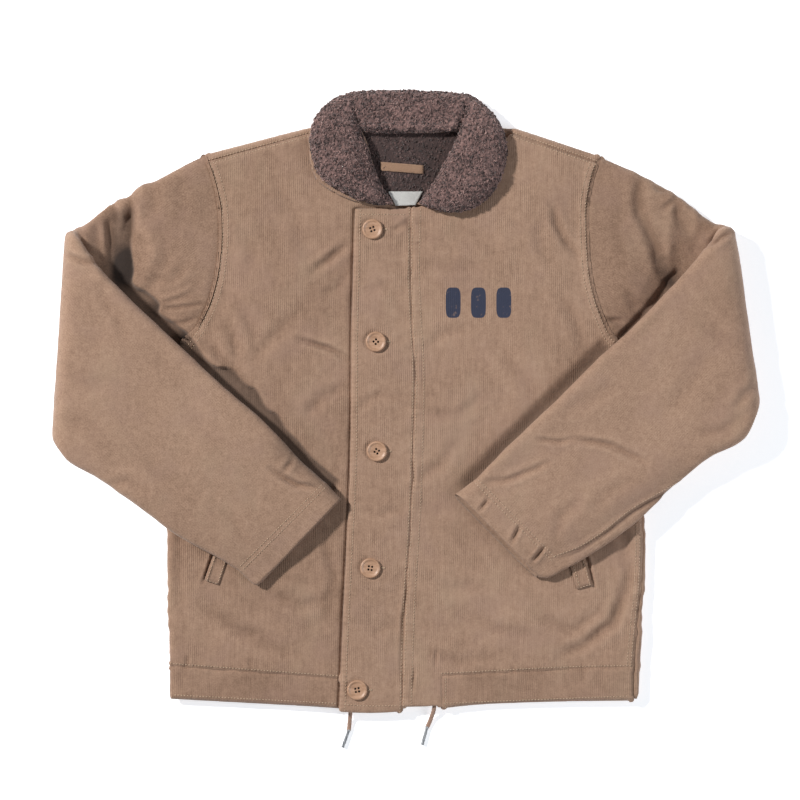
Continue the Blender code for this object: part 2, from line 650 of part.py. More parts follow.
def make_fly():
    """Button stand of the left front, lapped over the right front."""
    top = []
    bottom = []
    for y in FLY_ROWS:
        edge = x_at(FLY_EDGE, y)
        seam = x_at(FLY_SEAM, y)
        line_top = []
        line_bottom = []
        stations = [edge, edge + 1, edge + 3, edge + 14, lerp(edge, seam, 0.5), seam - 16, seam - 8.9,
                    seam - 8.2, seam]
        for place, x in enumerate(stations):
            end = FLY_END_DROP if y in FLY_ENDS else 0.0
            share = (x - edge) / (seam - edge)
            under = lerp(FLY_UNDER, FLY_UNDER_SEAM, share)
            if place >= 7:
                under = FRONT_FLOOR
            bow = FLY_BOW * math.sin(math.pi * share) if y < -350 else 0.0
            line_top.append((x, y - bow, fly_top(x, y) - end))
            line_bottom.append((x, y - bow, under))
        top.append(line_top)
        bottom.append(line_bottom)
    slab("fly", top, bottom, "shell_cloth")


# Sleeves

class FoldedSleeve:
    """Maps a sleeve drawn flat, as cut, to the sleeve folded back over itself."""

    def __init__(self, crease, outward):
        self.up = Vector((crease.x0 - crease.x1, crease.y0 - crease.y1)).normalized()
        self.out = Vector((-self.up.y, self.up.x))
        if self.out.x * outward < 0:
            self.out = -self.out
        self.centre = SLEEVE_HEIGHT + FOLD_RADIUS
        self.turn = math.pi * (self.centre - SLEEVE_HEIGHT / 2)
        self.origin = Vector((crease.x0, crease.y0)) - self.out * self.centre

    def flat(self, x, y):
        """Distance beyond the fold line and distance along it."""
        offset = Vector((x, y)) - self.origin
        return offset.dot(self.out), offset.dot(self.up)

    def along(self, y):
        return (y - self.origin.y) / self.up.y

    def place(self, beyond, along, height, sink):
        """Folded place of a point; sink lowers the layer that has been turned over."""
        reach = self.centre - SLEEVE_HEIGHT / 2
        radius = self.centre - height
        if beyond <= 0:
            shift, z = beyond, height
        elif beyond <= self.turn:
            angle = beyond / reach
            shift, z = radius * math.sin(angle), self.centre - radius * math.cos(angle)
        else:
            shift, z = self.turn - beyond, self.centre + radius - sink
        flat = self.origin + self.out * shift + self.up * along
        return flat.x, flat.y, z


def stations_across(armhole):
    """Stations at every point of the armhole curve, between them and at the round edges."""
    height = armhole[0].y - armhole[-1].y
    corners = [(armhole[0].y - p.y) / height for p in armhole[1:-1]]
    middles = [(a + b) / 2 for a, b in zip(corners, corners[1:]) if b - a > STATION_SPACING]
    stations = corners + middles
    for edge in EDGE_STATIONS + [1 - edge for edge in EDGE_STATIONS]:
        if all(abs(edge - corner) > STATION_APART for corner in corners):
            stations.append(edge)
    return sorted(stations)


def tube_height(station):
    """Share of the full height at a station, round towards both edges."""
    edge = min(station, 1 - station)
    return math.sqrt(1 - (1 - min(1.0, edge / TUBE_ROUND)) ** 2)


def make_sleeve(name, armhole, arm, forearm, crease, outward, pit, arm_folds, forearm_folds, lower_cuff):
    folder = FoldedSleeve(crease, outward)
    top0 = armhole[0]
    low0 = armhole[-1]
    height0 = top0.y - low0.y
    stations = stations_across(armhole)

    def armhole_bow(station):
        """How far the armhole curve stands off its chord."""
        y = top0.y - station * height0
        return x_at(armhole, y) - lerp(top0.x, low0.x, station)

    rows = [("arm", folder.flat(top0.x + outward * SEAM_GAP, top0.y),
             folder.flat(low0.x + outward * SEAM_GAP, low0.y), 1.0)]
    for k, section in enumerate(arm):
        bow = max(0.0, 0.72 - 0.18 * k)
        top_end = folder.flat(section.top_x, section.top_y)
        low_end = folder.flat(section.low_x, section.low_y)
        rows.append(("arm", top_end, low_end, bow))
    for k in range(FOLD_STEPS + 1):
        share = k / FOLD_STEPS
        half = abs(share - 0.5) * 2
        top_side = crease.top_in if share < 0.5 else crease.top_out
        low_side = crease.low_in if share < 0.5 else crease.low_out
        top_y = lerp(crease.top_mid, top_side, half ** 1.5)
        low_y = lerp(crease.low_mid, low_side, half ** 1.5)
        beyond = folder.turn * share
        rows.append(("fold", (beyond, folder.along(top_y)), (beyond, folder.along(low_y)), 0.0))
    for section in forearm:
        ends = []
        for x, y in ((section.top_x, section.top_y), (section.low_x, section.low_y)):
            beyond, along = folder.flat(x, y)
            ends.append((folder.turn - beyond, along))
        rows.append(("fore", ends[0], ends[1], 0.0))

    last = len(rows) - 1
    first_fore = last - len(forearm)
    outer = []
    inner = []
    for i, (kind, top_end, low_end, bow) in enumerate(rows):
        progress = smooth((i - first_fore) / (last - first_fore)) if i > first_fore else 0.0
        height = lerp(SLEEVE_HEIGHT, CUFF_HEIGHT, progress)
        full_sink = 2 * folder.centre - CUFF_HEIGHT - FOREARM_REST
        sink = full_sink * progress

        def ring_point(station, share):
            beyond = lerp(top_end[0], low_end[0], station)
            along = lerp(top_end[1], low_end[1], station)
            if bow:
                beyond += armhole_bow(station) * bow * folder.out.x
                along += armhole_bow(station) * bow * folder.up.x
            if kind == "arm":
                x, y, _ = folder.place(beyond, along, 0, 0)
                high = arm_height(x, y, i)
                h = lerp(0, high, share)
            elif kind == "fore":
                x, y, _ = folder.place(beyond, along, 0, 0)
                dip = fold_depth(forearm_folds, x, y)
                h = lerp(dip, height, share)
                if i == last and share >= 0.5:
                    beyond += lower_cuff
            else:
                h = lerp(0, SLEEVE_HEIGHT, share)
            return folder.place(beyond, along, h, sink)

        def arm_height(x, y, row):
            """Upper arm: full beside the body, low in the pit and under the forearm."""
            side = line_side(pit, x, y) * outward
            low = lerp(SLEEVE_HEIGHT, PIT_HEIGHT, smooth(-side / PIT_SLOPE + 0.15))
            seam = smooth(row / 2)
            to_fold = smooth((row - len(arm) + 1.5) / 2)
            high = lerp(BODY_HEIGHT, lerp(low, SLEEVE_HEIGHT, to_fold), seam)
            return max(ARM_LOWEST, high - fold_depth(arm_folds, x, y) * seam)

        ring_out = []
        ring_in = []
        for station in stations:
            swell = tube_height(station) / 2
            ring_out.append(ring_point(station, 0.5 + swell))
        for station in reversed(stations[1:-1]):
            swell = tube_height(station) / 2
            ring_out.append(ring_point(station, 0.5 - swell))
        slit = SLIT / height / 2
        for station in stations:
            inside = lerp(SLIT_INSET, 1 - SLIT_INSET, station)
            ring_in.append(ring_point(inside, 0.5 + slit * tube_height(station)))
        for station in reversed(stations[1:-1]):
            inside = lerp(SLIT_INSET, 1 - SLIT_INSET, station)
            ring_in.append(ring_point(inside, 0.5 - slit * tube_height(station)))
        outer.append(ring_out)
        inner.append(ring_in)
    tube(name, outer, inner, "shell_cloth")


def tube(name, outer, inner, finish):
    """Open tube wall between an outer and an inner run of rings."""
    bm = bmesh.new()
    shells = []
    for rings in (outer, inner):
        shells.append([[bm.verts.new(Vector(p) * MM) for p in ring] for ring in rings])
    outside, inside = shells
    count = len(outer[0])
    for shell in shells:
        for near, far in zip(shell, shell[1:]):
            for k in range(count):
                n = (k + 1) % count
                bm.faces.new((near[k], near[n], far[n], far[k]))
    for end in (0, -1):
        for k in range(count):
            n = (k + 1) % count
            bm.faces.new((outside[end][k], outside[end][n], inside[end][n], inside[end][k]))
    return add_object(name, bm, finish)


# Collar and neck

def make_collar():
    """Pile collar leaf and the shell-cloth undercollar below it."""
    pile_top, pile_bottom, under_top, under_bottom = [], [], [], []
    for row in COLLAR_ROWS:
        width = math.hypot(row.in_x - row.out_x, row.in_y - row.out_y)
        lines = [[], [], [], []]
        for station in COLLAR_STATIONS:
            low = lerp(row.low_out, row.low_in, station.step)
            x = lerp(row.out_x, row.in_x, station.across)
            y = lerp(row.out_y, row.in_y, station.across)
            over = low + UNDERCOLLAR_WALL + LAYER_GAP
            lines[0].append((x, y, max(over + PILE_LEAST, over + row.rise * station.rise)))
            lines[1].append((x, y, over))
            if station.across == 0.0:
                hem = min(UNDERCOLLAR_SHIFT, -row.edging / width)
                x = lerp(row.out_x, row.in_x, hem)
                y = lerp(row.out_y, row.in_y, hem)
            lines[2].append((x, y, low + UNDERCOLLAR_WALL))
            lines[3].append((x, y, low))
        pile_top.append(lines[0])
        pile_bottom.append(lines[1])
        under_top.append(lines[2])
        under_bottom.append(lines[3])
    slab("collar", pile_top, pile_bottom, "pile")
    slab("undercollar", under_top, under_bottom, "shell_cloth")


def make_neck():
    top, bottom = [], []
    for row in LINING_ROWS:
        line_top, line_bottom = [], []
        for k in range(9):
            share = k / 8
            x = lerp(row.top_x, row.low_x, share)
            y = lerp(row.top_y, row.low_y, share)
            line_top.append((x, y, LINING_TOP - LINING_DIP * (2 * share - 1) ** 4))
            line_bottom.append((x, y, FRONT_FLOOR))
        top.append(line_top)
        bottom.append(line_bottom)
    slab("neck_lining", top, bottom, "pile")
    loop_top, loop_bottom = [], []
    for k in range(7):
        share = k / 6
        x = lerp(LOOP.top_x, LOOP.low_x, share)
        y = lerp(LOOP.top_y, LOOP.low_y, share)
        lift = LINING_TOP + LAYER_GAP
        for lines, z in ((loop_top, lift + LOOP_HEIGHT), (loop_bottom, lift)):
            lines.append([(x, y - LOOP_WIDTH / 2, z), (x, y + LOOP_WIDTH / 2, z)])
    slab("hanger_loop", loop_top, loop_bottom, "shell_cloth")
    label_top, label_bottom = [], []
    for row in LABEL:
        lift = LINING_TOP + LAYER_GAP
        for lines, z in ((label_top, lift + LABEL_HEIGHT), (label_bottom, lift)):
            shares = [k / 3 for k in range(4)]
            lines.append([(lerp(row.top_x, row.low_x, t), lerp(row.top_y, row.low_y, t), z) for t in shares])
    slab("neck_label", label_top, label_bottom, "label_cloth")


def make_welts():
    for name, welt in (("pocket_welt_right", WELT_RIGHT), ("pocket_welt_left", WELT_LEFT)):
        run = Vector((welt.head_x - welt.foot_x, welt.head_y - welt.foot_y))
        across = Vector((run.y, -run.x)).normalized() * abs(welt.width)
        if across.x * welt.width < 0:
            across = -across
        top, bottom = [], []
        for k in range(7):
            foot = Vector((welt.foot_x, welt.foot_y)) + run * (k / 6)
            line_top, line_bottom = [], []
            for share in (0.0, 0.12, 0.5, 0.88, 1.0):
                place = foot + across * share
                base = body_top(place.x, place.y) + LAYER_GAP
                edge = 0.5 if share in (0.0, 1.0) else 0.0
                line_top.append((place.x, place.y, base + WELT_HEIGHT - edge))
                line_bottom.append((place.x, place.y, base))
            top.append(line_top)
            bottom.append(line_bottom)
        slab(name, top, bottom, "shell_cloth")


# Buttons and drawcord

def make_buttons():
    holes = bpy.data.meshes.new("button holes")
    bm = bmesh.new()
    for quarter in range(4):
        angle = math.pi / 4 + quarter * math.pi / 2
        made = bmesh.ops.create_cone(bm, cap_ends=True, segments=HOLE_SIDES, radius1=HOLE_RADIUS * MM,
                                     radius2=HOLE_RADIUS * MM, depth=HOLE_DEPTH * MM)
        shift = Vector((math.cos(angle), math.sin(angle), 0)) * HOLE_OFFSET * MM
        bmesh.ops.translate(bm, verts=made["verts"], vec=shift)
    bm.to_mesh(holes)
    bm.free()
    for number, place in enumerate(BUTTON_PLACES, 1):
        bm = bmesh.new()
        profile = [bm.verts.new(Vector((r, 0, z)) * MM) for r, z in BUTTON_PROFILE]
        edges = [bm.edges.new(pair) for pair in zip(profile, profile[1:])]
        bmesh.ops.spin(bm, geom=profile + edges, axis=(0, 0, 1), cent=(0, 0, 0), angle=2 * math.pi,
                       steps=BUTTON_SIDES, use_merge=True)
        bmesh.ops.remove_doubles(bm, verts=bm.verts, dist=0.00001)
        name = "button_{}".format(number)
        button = add_object(name, bm, "button")
        lift = max(fly_top(place.x + dx, place.y) for dx in (-BUTTON_RADIUS, 0, BUTTON_RADIUS)) + LAYER_GAP
        button.location = Vector((place.x, place.y, lift)) * MM
        tool = bpy.data.objects.new(name + " holes", holes)
        bpy.context.scene.collection.objects.link(tool)
        tool.location = button.location
        tool.hide_render = True
        tool.display_type = "WIRE"
        cut(button, tool)


def smooth_route(route, count):
    """Points of a smooth curve through the route's own points."""
    padded = [route[0], *route, route[-1]]
    points = []
    for k in range(count + 1):
        place = k / count * (len(route) - 1)
        n = min(int(place), len(route) - 2)
        t = place - n
        a, b, c, d = (Vector(p) for p in padded[n:n + 4])
        points.append(0.5 * ((2 * b) + (c - a) * t + (2 * a - 5 * b + 4 * c - d) * t ** 2
                             + (3 * b - a - 3 * c + d) * t ** 3))
    return points


def make_cord(name, aglet_name, route, aglet_end):
    curve = bpy.data.curves.new(name, "CURVE")
    curve.dimensions = "3D"
    curve.bevel_depth = CORD_RADIUS * MM
    curve.bevel_resolution = 2
    curve.use_fill_caps = True
    spline = curve.splines.new("POLY")
    points = smooth_route(route, CORD_POINTS)
    spline.points.add(len(points) - 1)
    for target, point in zip(spline.points, points):
        target.co = (*(point * MM), 1.0)
    curve.materials.append(material("cord"))
    bpy.context.scene.collection.objects.link(bpy.data.objects.new(name, curve))
    start = Vector(route[-1])
    run = (Vector((aglet_end.x, aglet_end.y, start.z)) - start).normalized()
    bm = bmesh.new()
    bmesh.ops.create_cone(bm, cap_ends=True, segments=AGLET_SIDES, radius1=AGLET_RADIUS * MM,
                          radius2=AGLET_RADIUS * MM, depth=AGLET_LENGTH * MM)
    ends = [e for e in bm.edges if len({round(v.co.z, 6) for v in e.verts}) == 1]
    bmesh.ops.bevel(bm, geom=ends, offset=AGLET_BEVEL * MM, segments=1, affect="EDGES", profile=0.5)
    aglet = add_object(aglet_name, bm, "aglet")
    aglet.rotation_euler = run.to_track_quat("Z", "Y").to_euler()
    aglet.location = (start + run * (AGLET_LENGTH / 2 + CORD_RADIUS * 0.5)) * MM


# Assembly

for old in list(bpy.data.objects):
    bpy.data.objects.remove(old, do_unlink=True)

make_back()
make_right_front()
make_left_front()
make_hem_channels()
make_fly()
make_sleeve("sleeve_right", ARMHOLE_RIGHT, ARM_RIGHT, FOREARM_RIGHT, CREASE_RIGHT, -1, PIT_RIGHT,
            ARM_FOLDS_RIGHT, FOREARM_FOLDS_RIGHT, LOWER_CUFF_RIGHT)
make_sleeve("sleeve_left", ARMHOLE_LEFT, ARM_LEFT, FOREARM_LEFT, CREASE_LEFT, 1, PIT_LEFT,
            ARM_FOLDS_LEFT, FOREARM_FOLDS_LEFT, LOWER_CUFF_LEFT)
make_collar()
make_neck()
make_welts()
make_buttons()
make_cord("drawcord_right", "aglet_right", CORD_RIGHT, AGLET_END_RIGHT)
make_cord("drawcord_left", "aglet_left", CORD_LEFT, AGLET_END_LEFT)
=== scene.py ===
import json
import math
import time

import bmesh
import bpy
import numpy as np
from mathutils import Matrix, Vector
from mathutils.bvhtree import BVHTree

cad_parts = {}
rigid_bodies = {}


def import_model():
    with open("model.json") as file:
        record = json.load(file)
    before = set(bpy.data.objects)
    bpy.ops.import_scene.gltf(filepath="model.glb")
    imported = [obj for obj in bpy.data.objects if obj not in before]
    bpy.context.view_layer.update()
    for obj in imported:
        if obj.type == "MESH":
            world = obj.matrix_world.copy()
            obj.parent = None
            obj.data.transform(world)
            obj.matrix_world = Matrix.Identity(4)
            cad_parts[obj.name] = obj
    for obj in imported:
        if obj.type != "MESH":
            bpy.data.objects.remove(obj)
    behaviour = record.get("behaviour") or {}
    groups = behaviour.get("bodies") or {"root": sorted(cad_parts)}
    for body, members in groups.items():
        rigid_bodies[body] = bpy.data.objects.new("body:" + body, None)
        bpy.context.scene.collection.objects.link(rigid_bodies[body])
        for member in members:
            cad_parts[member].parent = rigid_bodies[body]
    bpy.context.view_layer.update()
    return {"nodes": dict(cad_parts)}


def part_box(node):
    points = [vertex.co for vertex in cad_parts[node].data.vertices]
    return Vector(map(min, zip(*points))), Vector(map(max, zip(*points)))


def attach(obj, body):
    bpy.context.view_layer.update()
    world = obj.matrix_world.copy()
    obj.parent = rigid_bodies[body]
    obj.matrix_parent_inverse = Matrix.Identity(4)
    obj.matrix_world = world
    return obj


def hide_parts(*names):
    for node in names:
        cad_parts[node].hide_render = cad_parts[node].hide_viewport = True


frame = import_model()
scene = bpy.context.scene
mm = 0.001
started = time.time()


def stage(words):
    print("stage:", words, "%.0f s" % (time.time() - started))


# camera straight above, lights, floor

view = {"centre": (-6.9, 2.0), "height": 4000, "lens": 156.5, "sensor": 36}
lamps = {  # a key from the upper left, as the shadows in the photo fall, and a softer fill from the right
    "key": {"at": (-3.78, 2.09, 3.52), "size": 0.45, "power": 310, "tint": (1.0, 0.985, 0.965)},
    "right_fill": {"at": (2.3, -0.6, 1.7), "size": 1.4, "power": 29, "tint": (0.94, 0.965, 1.0)},
}
sky = {"tint": (0.93, 0.96, 1.0, 1), "power": 0.2}

cameraData = bpy.data.cameras.new("camera")
cameraData.lens = view["lens"]
cameraData.sensor_width = view["sensor"]
cameraData.clip_end = 20
camera = bpy.data.objects.new("camera", cameraData)
camera.location = Vector((*view["centre"], view["height"])) * mm
scene.collection.objects.link(camera)
scene.camera = camera

for name, lamp in lamps.items():
    data = bpy.data.lights.new(name, "AREA")
    data.size = lamp["size"]
    data.energy = lamp["power"]
    data.color = lamp["tint"]
    light = bpy.data.objects.new(name, data)
    light.location = lamp["at"]
    light.rotation_euler = (-light.location).to_track_quat("-Z", "Y").to_euler()
    scene.collection.objects.link(light)

world = bpy.data.worlds.new("studio")
world.use_nodes = True
background = world.node_tree.nodes["Background"].inputs
background["Color"].default_value = sky["tint"]
background["Strength"].default_value = sky["power"]
scene.world = world
scene.view_settings.view_transform = "Standard"


# shader helpers

class Wire:
    # one output socket that takes part in arithmetic
    def __init__(self, tree, out):
        self.tree = tree
        self.out = out

    def join(self, operation, first, second=None):
        node = self.tree.nodes.new("ShaderNodeMath")
        node.operation = operation
        for slot, item in zip(node.inputs, (first, second)):
            if isinstance(item, Wire):
                self.tree.links.new(item.out, slot)
            elif item is not None:
                slot.default_value = item
        return Wire(self.tree, node.outputs[0])

    def __add__(self, other):
        return self.join("ADD", self, other)

    def __radd__(self, other):
        return self.join("ADD", other, self)

    def __sub__(self, other):
        return self.join("SUBTRACT", self, other)

    def __rsub__(self, other):
        return self.join("SUBTRACT", other, self)

    def __mul__(self, other):
        return self.join("MULTIPLY", self, other)

    def __rmul__(self, other):
        return self.join("MULTIPLY", other, self)

    def sine(self):
        return self.join("SINE", self)

    def above(self, low, width):
        # soft step from 0 to 1 that starts at low
        node = self.tree.nodes.new("ShaderNodeMapRange")
        node.interpolation_type = "SMOOTHSTEP"
        self.tree.links.new(self.out, node.inputs["Value"])
        node.inputs["From Min"].default_value = low
        node.inputs["From Max"].default_value = low + width
        return Wire(self.tree, node.outputs["Result"])


class Finish:
    # a material under construction
    def __init__(self, name, **sockets):
        self.material = bpy.data.materials.new(name)
        self.material.use_nodes = True
        self.tree = self.material.node_tree
        self.shader = self.tree.nodes["Principled BSDF"]
        for socket, value in sockets.items():
            self.shader.inputs[socket.replace("_", " ")].default_value = value
        self.place = self.node("ShaderNodeTexCoord", out="Object")

    def node(self, kind, settings=None, inputs=None, out=0):
        made = self.tree.nodes.new(kind)
        for key, value in (settings or {}).items():
            if key == "stops":
                ramp = made.color_ramp
                while len(ramp.elements) < len(value):
                    ramp.elements.new(0.5)
                for element, (where, colour) in zip(ramp.elements, value):
                    element.position = where
                    element.color = (*colour, 1)
            else:
                setattr(made, key, value)
        for key, value in (inputs or {}).items():
            if isinstance(value, Wire):
                self.tree.links.new(value.out, made.inputs[key])
            else:
                made.inputs[key].default_value = value
        return Wire(self.tree, made.outputs[out])

    def noise(self, scale, detail=2.0, place=None):
        inputs = {"Vector": place or self.place, "Scale": scale, "Detail": detail}
        return self.node("ShaderNodeTexNoise", inputs=inputs)

    def attribute(self, name):
        return self.node("ShaderNodeAttribute", {"attribute_name": name}, out="Fac")

    def ramp(self, amount, stops):
        return self.node("ShaderNodeValToRGB", {"stops": stops}, {"Fac": amount}, "Color")

    def mix(self, amount, first, second):
        return self.node("ShaderNodeMix", {"data_type": "RGBA"}, {0: amount, 6: first, 7: second}, 2)

    def stretched(self, x, y, z):
        # Object coordinates scaled unevenly, for streaks
        return self.node("ShaderNodeMapping", inputs={"Vector": self.place, "Scale": (x, y, z)})

    def axes(self):
        # X and Y of the Object coordinates
        across = self.node("ShaderNodeSeparateXYZ", inputs={"Vector": self.place}, out="X")
        return across, Wire(self.tree, across.out.node.outputs["Y"])

    def feed(self, socket, value):
        self.tree.links.new(value.out, self.shader.inputs[socket])

    def bump(self, height, distance):
        self.feed("Normal", self.node("ShaderNodeBump", inputs={"Height": height, "Distance": distance}))


def srgb(red, green, blue):
    return tuple(((c / 255 + 0.055) / 1.055) ** 2.4 if c > 10 else c / 3294.6 for c in (red, green, blue))


# finishes

cloth = {  # colours, the near black one being painted shade for hollows, rib spacing in mm, bump depth in m, noise scales
    "dark": srgb(130, 101, 81), "mid": srgb(163, 131, 109), "light": srgb(186, 154, 131),
    "faded": srgb(171, 146, 122), "rosy": srgb(152, 121, 106), "deep": srgb(26, 16, 13),
    "ribSpacing": 2.35, "bump": 0.0003,
    "slubs": 150, "threads": 620, "patches": 11, "streaks": 300, "ribFade": 34, "blushes": 23, "bleaches": 17,
}
mark = {  # three plain bars at the chest
    "bars": [54, 83, 112], "halfWidth": 8.6, "middle": 113.5, "halfHeight": 17.5, "ink": srgb(34, 45, 70),
}


def shellCloth(name, ribs=1.0, withMark=False):
    made = Finish(name, Roughness=0.88, Sheen_Weight=0.18, Sheen_Roughness=0.55)
    rib = (made.attribute("grain") * (2 * math.pi / cloth["ribSpacing"])).sine()
    rib = rib * made.noise(cloth["ribFade"], 2).above(0.3, 0.4)
    slubs = made.noise(cloth["slubs"], 3) - 0.5
    threads = made.noise(cloth["threads"], 2) - 0.5
    patches = made.noise(cloth["patches"], 4) - 0.5
    streaks = made.noise(cloth["streaks"], 3, made.stretched(1, 0.12, 1)) - 0.5
    tone = 0.5 + rib * (0.12 * ribs) + slubs * 0.42 + threads * (0.9 - 0.35 * ribs) + patches * 0.42
    # relief paints crease troughs darker and raised seams lighter, painted shade and painted light, plus each
    # piece's tone offset
    tone = tone + streaks * (0.5 * ribs - 0.1) + made.attribute("relief") * 0.16
    colour = made.ramp(tone, [(0.12, cloth["dark"]), (0.5, cloth["mid"]), (0.9, cloth["light"])])
    blush = made.noise(cloth["blushes"], 4).above(0.46, 0.26) * 0.32
    bleach = made.noise(cloth["bleaches"], 4, made.stretched(1.3, 0.7, 1)).above(0.5, 0.3) * 0.3
    colour = made.mix(blush, colour, (*cloth["rosy"], 1))
    colour = made.mix(bleach, colour, (*cloth["faded"], 1))
    if withMark:
        across, up = made.axes()
        up = (up - mark["middle"] * mm) * (1 / (mark["halfHeight"] * mm))
        upFour = up * up * up * up
        offs = [(across - middle * mm) * (1 / (mark["halfWidth"] * mm)) for middle in mark["bars"]]
        # the fourth powers give round corners
        bars = sum(1 - (off * off * off * off + upFour).above(0.88, 0.2) for off in offs)
        worn = made.noise(170, 5).above(0.28, 0.14)
        colour = made.mix(bars * (0.6 + 0.37 * worn), colour, (*mark["ink"], 1))
    # painted shade: near black mixed in where the mesh is painted dark, in trenches, pits and beside forearm
    # edges
    colour = made.mix(made.attribute("deep"), colour, (*cloth["deep"], 1))
    made.feed("Base Color", colour)
    made.feed("Roughness", 0.88 + 0.12 * threads)
    made.bump(rib * (0.45 * ribs) + threads * 1.3 + slubs * 0.8, cloth["bump"])
    return made.material


pile = {"dark": srgb(60, 41, 38), "mid": srgb(129, 99, 94), "light": srgb(184, 147, 138), "curl": 330}


def pileCloth(name, shade):
    made = Finish(name, Roughness=0.95, Sheen_Weight=0.3, Sheen_Roughness=0.6)
    inputs = {"Vector": made.place, "Scale": pile["curl"]}
    cells = made.node("ShaderNodeTexVoronoi", inputs=inputs, out="Distance")
    fine = made.noise(520, 3)
    patches = made.noise(60, 3)
    tone = shade + made.attribute("tone") * 0.34 + (fine - 0.5) * 0.7
    tone = tone + (patches - 0.5) * 0.45 - (cells - 0.4) * 0.5
    made.feed("Base Color", made.ramp(tone, [(0.1, pile["dark"]), (0.5, pile["mid"]), (0.92, pile["light"])]))
    made.bump(fine * 1.2 - cells * 1.2, 0.0009)
    return made.material


def buttonFinish(name):
    made = Finish(name, Roughness=0.42, Coat_Weight=0.15, Coat_Roughness=0.3)
    flecks = made.noise(900, 2)
    tone = made.noise(90, 4, made.stretched(1, 4, 1)) + (flecks - 0.5) * 0.3
    stops = [(0.25, srgb(166, 128, 101)), (0.55, srgb(188, 149, 121)), (0.85, srgb(202, 164, 138))]
    made.feed("Base Color", made.ramp(tone, stops))
    made.feed("Roughness", 0.38 + 0.14 * flecks)
    made.bump(flecks, 0.00008)
    return made.material


def braid(name, dark, light, spacing, depth):
    # diagonal over and under of a woven tape
    made = Finish(name, Roughness=0.85, Sheen_Weight=0.15)
    across, along = made.axes()
    turn = 2 * math.pi / (spacing * mm)
    plait = ((across + along) * turn).sine() * ((across - along) * turn).sine()
    fray = made.noise(1400, 3)
    tone = 0.5 + plait * 0.3 + (fray - 0.5) * 0.8
    made.feed("Base Color", made.ramp(tone, [(0.1, dark), (0.9, light)]))
    made.bump(plait + fray * 0.8, depth * mm)
    return made.material


def metalFinish(name):
    made = Finish(name, Metallic=0.2, Roughness=0.5)
    scratches = made.noise(700, 3, made.stretched(1, 0.15, 1))
    made.feed("Base Color", made.ramp(scratches, [(0.3, (0.09, 0.1, 0.11)), (0.7, (0.46, 0.48, 0.5))]))
    made.feed("Roughness", 0.16 + 0.3 * scratches)
    made.bump(scratches, 0.00006)
    return made.material


def floorFinish(name):
    # overexposed paper, so that shadows on it stay faint
    made = Finish(name, Roughness=0.7, Specular_IOR_Level=0.2, Emission_Color=(0.94, 0.965, 1.0, 1),
                  Emission_Strength=0.55)
    paper = [(0.2, (0.93, 0.935, 0.95)), (0.8, (0.95, 0.955, 0.965))]
    made.feed("Base Color", made.ramp(made.noise(3, 2), paper))
    return made.material


finishes = {
    "shell": shellCloth("shell_cloth_ribbed"),
    "shellMarked": shellCloth("shell_cloth_ribbed_marked", 1.0, True),
    "sleeveShell": shellCloth("shell_cloth_sleeve", 0.4),
    "collarPile": pileCloth("pile_curls", 0.42),
    # the lining's pile is painted darker than the collar's pile, as painted shade inside the neck
    "liningPile": pileCloth("pile_lining", 0.1),
    "button": buttonFinish("button_tan"),
    "thread": braid("thread_tan", srgb(176, 146, 120), srgb(226, 200, 172), 1.1, 0.1),
    # near black thread, real thread darkened as painted shade in the button holes
    "holeShadeThread": braid("thread_hole_shade", srgb(34, 22, 18), srgb(58, 40, 32), 1.1, 0.1),
    "cord": braid("cord_braid", srgb(140, 108, 91), srgb(208, 172, 150), 2.6, 0.35),
    "label": braid("label_tape", srgb(196, 194, 190), srgb(232, 231, 228), 0.9, 0.1),
    "tape": braid("loop_tape", srgb(142, 108, 84), srgb(196, 158, 130), 1.6, 0.2),
    "aglet": metalFinish("aglet_metal"),
}
stage("finishes")


# mesh helpers

def asMesh(name, bm):
    mesh = bpy.data.meshes.new(name)
    bm.to_mesh(mesh)
    bm.free()
    return mesh


def addPiece(name, mesh, finish, replaced=None):
    mesh.materials.clear()
    mesh.materials.append(finishes[finish])
    mesh.shade_smooth()
    made = bpy.data.objects.new(name, mesh)
    scene.collection.objects.link(made)
    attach(made, "root")
    if replaced:
        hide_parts(replaced)
    return made


def nodeShape(node):
    # merged copy of a node, its flat pairs of triangles joined
    mesh = frame["nodes"][node].data.copy()
    if "custom_normal" in mesh.attributes:
        mesh.attributes.remove(mesh.attributes["custom_normal"])
    bm = bmesh.new()
    bm.from_mesh(mesh)
    bpy.data.meshes.remove(mesh)
    bmesh.ops.remove_doubles(bm, verts=bm.verts, dist=0.000002)
    bmesh.ops.join_triangles(bm, faces=bm.faces, angle_face_threshold=0.6, angle_shape_threshold=1.2)
    return bm


def creaseEdges(bm, degrees):
    layer = bm.edges.layers.float.get("crease_edge") or bm.edges.layers.float.new("crease_edge")
    for edge in bm.edges:
        if len(edge.link_faces) != 2 or edge.calc_face_angle(0) > math.radians(degrees):
            edge[layer] = 1.0


def baked(name, bm, steps):
    # the mesh after a list of modifiers
    mesh = asMesh(name, bm)
    holder = bpy.data.objects.new(name + "_holder", mesh)
    scene.collection.objects.link(holder)
    for kind, settings in steps:
        modifier = holder.modifiers.new(kind, kind)
        for key, value in settings.items():
            setattr(modifier, key, value)
    graph = bpy.context.evaluated_depsgraph_get()
    done = bpy.data.meshes.new_from_object(holder.evaluated_get(graph))
    bpy.data.objects.remove(holder)
    bpy.data.meshes.remove(mesh)
    return done


def remeshed(name, bm, levels, voxel, smooth):
    # subdivided, remeshed on an even grid and smoothed
    return baked(name, bm, [("SUBSURF", {"levels": levels, "render_levels": levels}),
                            ("REMESH", {"mode": "VOXEL", "voxel_size": voxel * mm}),
                            ("SMOOTH", {"factor": 0.5, "iterations": smooth})])


def points(mesh, layer="co"):
    flat = np.empty(len(mesh.vertices) * 3, np.float32)
    mesh.vertices.foreach_get(layer, flat)
    return flat.reshape(-1, 3).astype(float)


